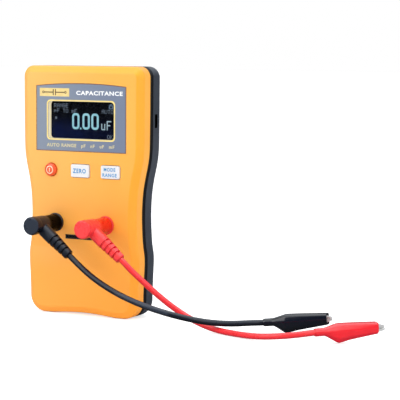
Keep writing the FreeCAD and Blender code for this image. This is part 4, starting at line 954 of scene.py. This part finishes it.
def boot_mesh(colour, placing):
    slid, drawn = SLEEVE[colour]
    verts = []
    for station in STATIONS:
        half = half_section(station)
        shrink = END_SHRINK.get(station, 1.0)
        beyond = max(station - FRONT_PART, 0.0)
        along = slid + min(station, FRONT_PART) + beyond * drawn
        for x, z in half + [(-x, z) for x, z in reversed(half)]:
            verts.append(placing @ Vector((along * MM, x * shrink * MM, z * shrink * MM)))
    n = SECTION_POINTS
    faces = [(i * n + j, (i + 1) * n + j, (i + 1) * n + (j + 1) % n, i * n + (j + 1) % n)
             for i in range(len(STATIONS) - 1) for j in range(n)]
    return new_mesh(colour + "_boot_sleeve", verts, faces, colour + "_boot_pvc", smooth=True)


def turn_outward(bm, placing):
    """Make the normals of the open shell point away from its axis."""
    bmesh.ops.recalc_face_normals(bm, faces=bm.faces)
    inside = placing @ Vector((0.030, 0, 0))
    nearest = min(bm.faces, key=lambda face: (face.calc_center_median() - inside).length)
    centre = nearest.calc_center_median()
    on_axis = placing @ Vector(((placing.inverted() @ centre).x, 0, 0))
    if nearest.normal.dot(centre - on_axis) < 0:
        bmesh.ops.reverse_faces(bm, faces=bm.faces[:])


def crease_boot(bm):
    """Round tail, firmer lengthwise edges towards the front, and firm end rims."""
    crease = bm.edges.layers.float.new("crease_edge")
    for edge in bm.edges:
        first, second = (v.index // SECTION_POINTS for v in edge.verts)
        station = STATIONS[min(first, second)]
        if first != second:
            edge[crease] = 0.0 if station < 6.8 else (0.4 if station < 11.5 else 0.9)
        elif station in END_SHRINK:
            edge[crease] = 0.6


def boot(colour):
    placing = clip_matrix(colour)
    sleeve = boot_mesh(colour, placing)
    bm = bmesh.new()
    bm.from_mesh(sleeve.data)
    turn_outward(bm, placing)
    crease_boot(bm)
    bm.to_mesh(sleeve.data)
    bm.free()
    wall = sleeve.modifiers.new("wall", "SOLIDIFY")
    wall.thickness = WALL * MM
    wall.offset = -1.0
    wall.use_even_offset = True
    wall.use_rim = True
    smoothing = sleeve.modifiers.new("round", "SUBSURF")
    smoothing.levels = smoothing.render_levels = 2
    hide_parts(colour + "_clip_boot")
    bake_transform(sleeve)


for colour in ("black", "red"):
    boot(colour)


# ------------------------------------------------------------------ floor, lights, world, camera
FLOOR_HALF, FLOOR_Z = 12.0, -0.0002


def floor_material():
    """Pale matt floor that glows, more so to the camera, and looks dim in reflections."""
    mat = Mat("floor")
    col = mat.mix(mat.cloud(3.0), (0.90, 0.90, 0.90, 1), (0.885, 0.887, 0.89, 1))
    normal = mat.bump(mat.noise(500.0), depth=0.02, strength=0.3)
    camera_ray = mat.add("ShaderNodeLightPath").outputs["Is Camera Ray"]
    glow = mat.math("ADD", 0.16, mat.times(camera_ray, 0.46))
    # mirrored views of the floor are kept dim, so that dark gloss stays dark
    glossy_ray = mat.add("ShaderNodeLightPath").outputs["Is Glossy Ray"]
    col = mat.mix(glossy_ray, col, (0.16, 0.17, 0.19, 1))
    glow = mat.times(glow, mat.math("SUBTRACT", 1.0, glossy_ray))
    mat.shade(Base_Color=col, Roughness=mat.cloud(12.0, to=(0.55, 0.65)), Normal=normal,
              Emission_Color=(1, 1, 1, 1), Emission_Strength=glow)


floor_material()
corners = [(sx * FLOOR_HALF, sy * FLOOR_HALF, FLOOR_Z)
           for sx, sy in ((-1, -1), (1, -1), (1, 1), (-1, 1))]
new_mesh("floor", corners, [(0, 1, 2, 3)], "floor")

# name, place, target, width, height (m), power (W)
LIGHTS = [
    ("key", (-0.75, -1.25, 0.75), (0.02, 0, 0.09), 0.9, 0.9, 8.6),
    ("fill", (1.15, -0.75, 0.65), (0.06, 0, 0.08), 0.8, 0.8, 3.8),
    ("top", (0.1, -0.1, 1.5), (0.05, 0, 0.0), 1.4, 1.4, 9.0),
    ("side_strip", (1.35, 0.10, 0.40), (0.05, 0, 0.09), 0.22, 1.1, 3.2),
    ("bevel_strip", (0.98, -1.12, 0.30), (0.05, 0, 0.09), 0.16, 0.9, 0.9),
]
for name, place, target, width, height, power in LIGHTS:
    light = bpy.data.lights.new(name, "AREA")
    light.energy = power
    light.shape = "RECTANGLE"
    light.size = width
    light.size_y = height
    lamp = bpy.data.objects.new(name, light)
    bpy.context.scene.collection.objects.link(lamp)
    lamp.location = place
    lamp.rotation_mode = "QUATERNION"
    lamp.rotation_quaternion = (Vector(target) - Vector(place)).to_track_quat("-Z", "Y")


def studio_world():
    """White to the camera, soft to matt surfaces; gloss sees it bright overhead and dim low."""
    world = bpy.data.worlds.new("studio")
    bpy.context.scene.world = world
    world.use_nodes = True
    nodes = Nodes(world.node_tree)
    output = nodes.add("ShaderNodeOutputWorld")
    white = (1, 1, 1, 1)
    soft = nodes.add("ShaderNodeBackground", {"Color": white, "Strength": 0.5})
    seen = nodes.add("ShaderNodeBackground", {"Color": white, "Strength": 1.0})
    rays = nodes.add("ShaderNodeLightPath").outputs
    by_camera = nodes.add("ShaderNodeMixShader", {0: rays["Is Camera Ray"], 2: seen.outputs[0]})
    direction = nodes.add("ShaderNodeTexCoord").outputs["Generated"]
    height = nodes.add("ShaderNodeSeparateXYZ", {0: direction}).outputs[2]
    rise = nodes.add("ShaderNodeMapRange", {
        "Value": height, "From Min": 0.2, "From Max": 0.9, "To Min": 0.12, "To Max": 2.6},
        interpolation_type="SMOOTHSTEP")
    mirrored = nodes.add("ShaderNodeBackground", {
        "Color": (0.88, 0.94, 1.0, 1), "Strength": rise.outputs["Result"]})
    by_gloss = nodes.add("ShaderNodeMixShader", {
        0: rays["Is Glossy Ray"], 1: soft.outputs[0], 2: mirrored.outputs[0]})
    nodes.put(by_camera.inputs[1], by_gloss.outputs[0])
    nodes.put(output.inputs["Surface"], by_camera.outputs[0])


studio_world()
bpy.context.scene.view_settings.view_transform = "Standard"

CAMERA_PLACE = Vector((598.059, -968.230, 194.053)) * MM
CAMERA_YAW, CAMERA_PITCH, CAMERA_ROLL = 0.4834612, 0.0962413, 0.0074466     # radians
CAMERA_LENS = 139.78413              # mm, on a 36 mm sensor


def add_camera():
    """Camera turned left by the yaw, down by the pitch, then rolled about its view."""
    data = bpy.data.cameras.new("camera")
    data.sensor_width = 36.0
    data.lens = CAMERA_LENS
    data.clip_start = 0.05
    data.clip_end = 60.0
    camera = bpy.data.objects.new("camera", data)
    bpy.context.scene.collection.objects.link(camera)
    level = math.cos(CAMERA_PITCH)
    forward = Vector((-math.sin(CAMERA_YAW) * level, math.cos(CAMERA_YAW) * level,
                      -math.sin(CAMERA_PITCH)))
    right = Vector((math.cos(CAMERA_YAW), math.sin(CAMERA_YAW), 0))
    up = right.cross(forward)
    cos_roll, sin_roll = math.cos(CAMERA_ROLL), math.sin(CAMERA_ROLL)
    axes = (right * cos_roll + up * sin_roll, -right * sin_roll + up * cos_roll, -forward)
    turn = Matrix(axes).transposed()
    camera.matrix_world = Matrix.Translation(CAMERA_PLACE) @ turn.to_4x4()
    bpy.context.scene.camera = camera


add_camera()
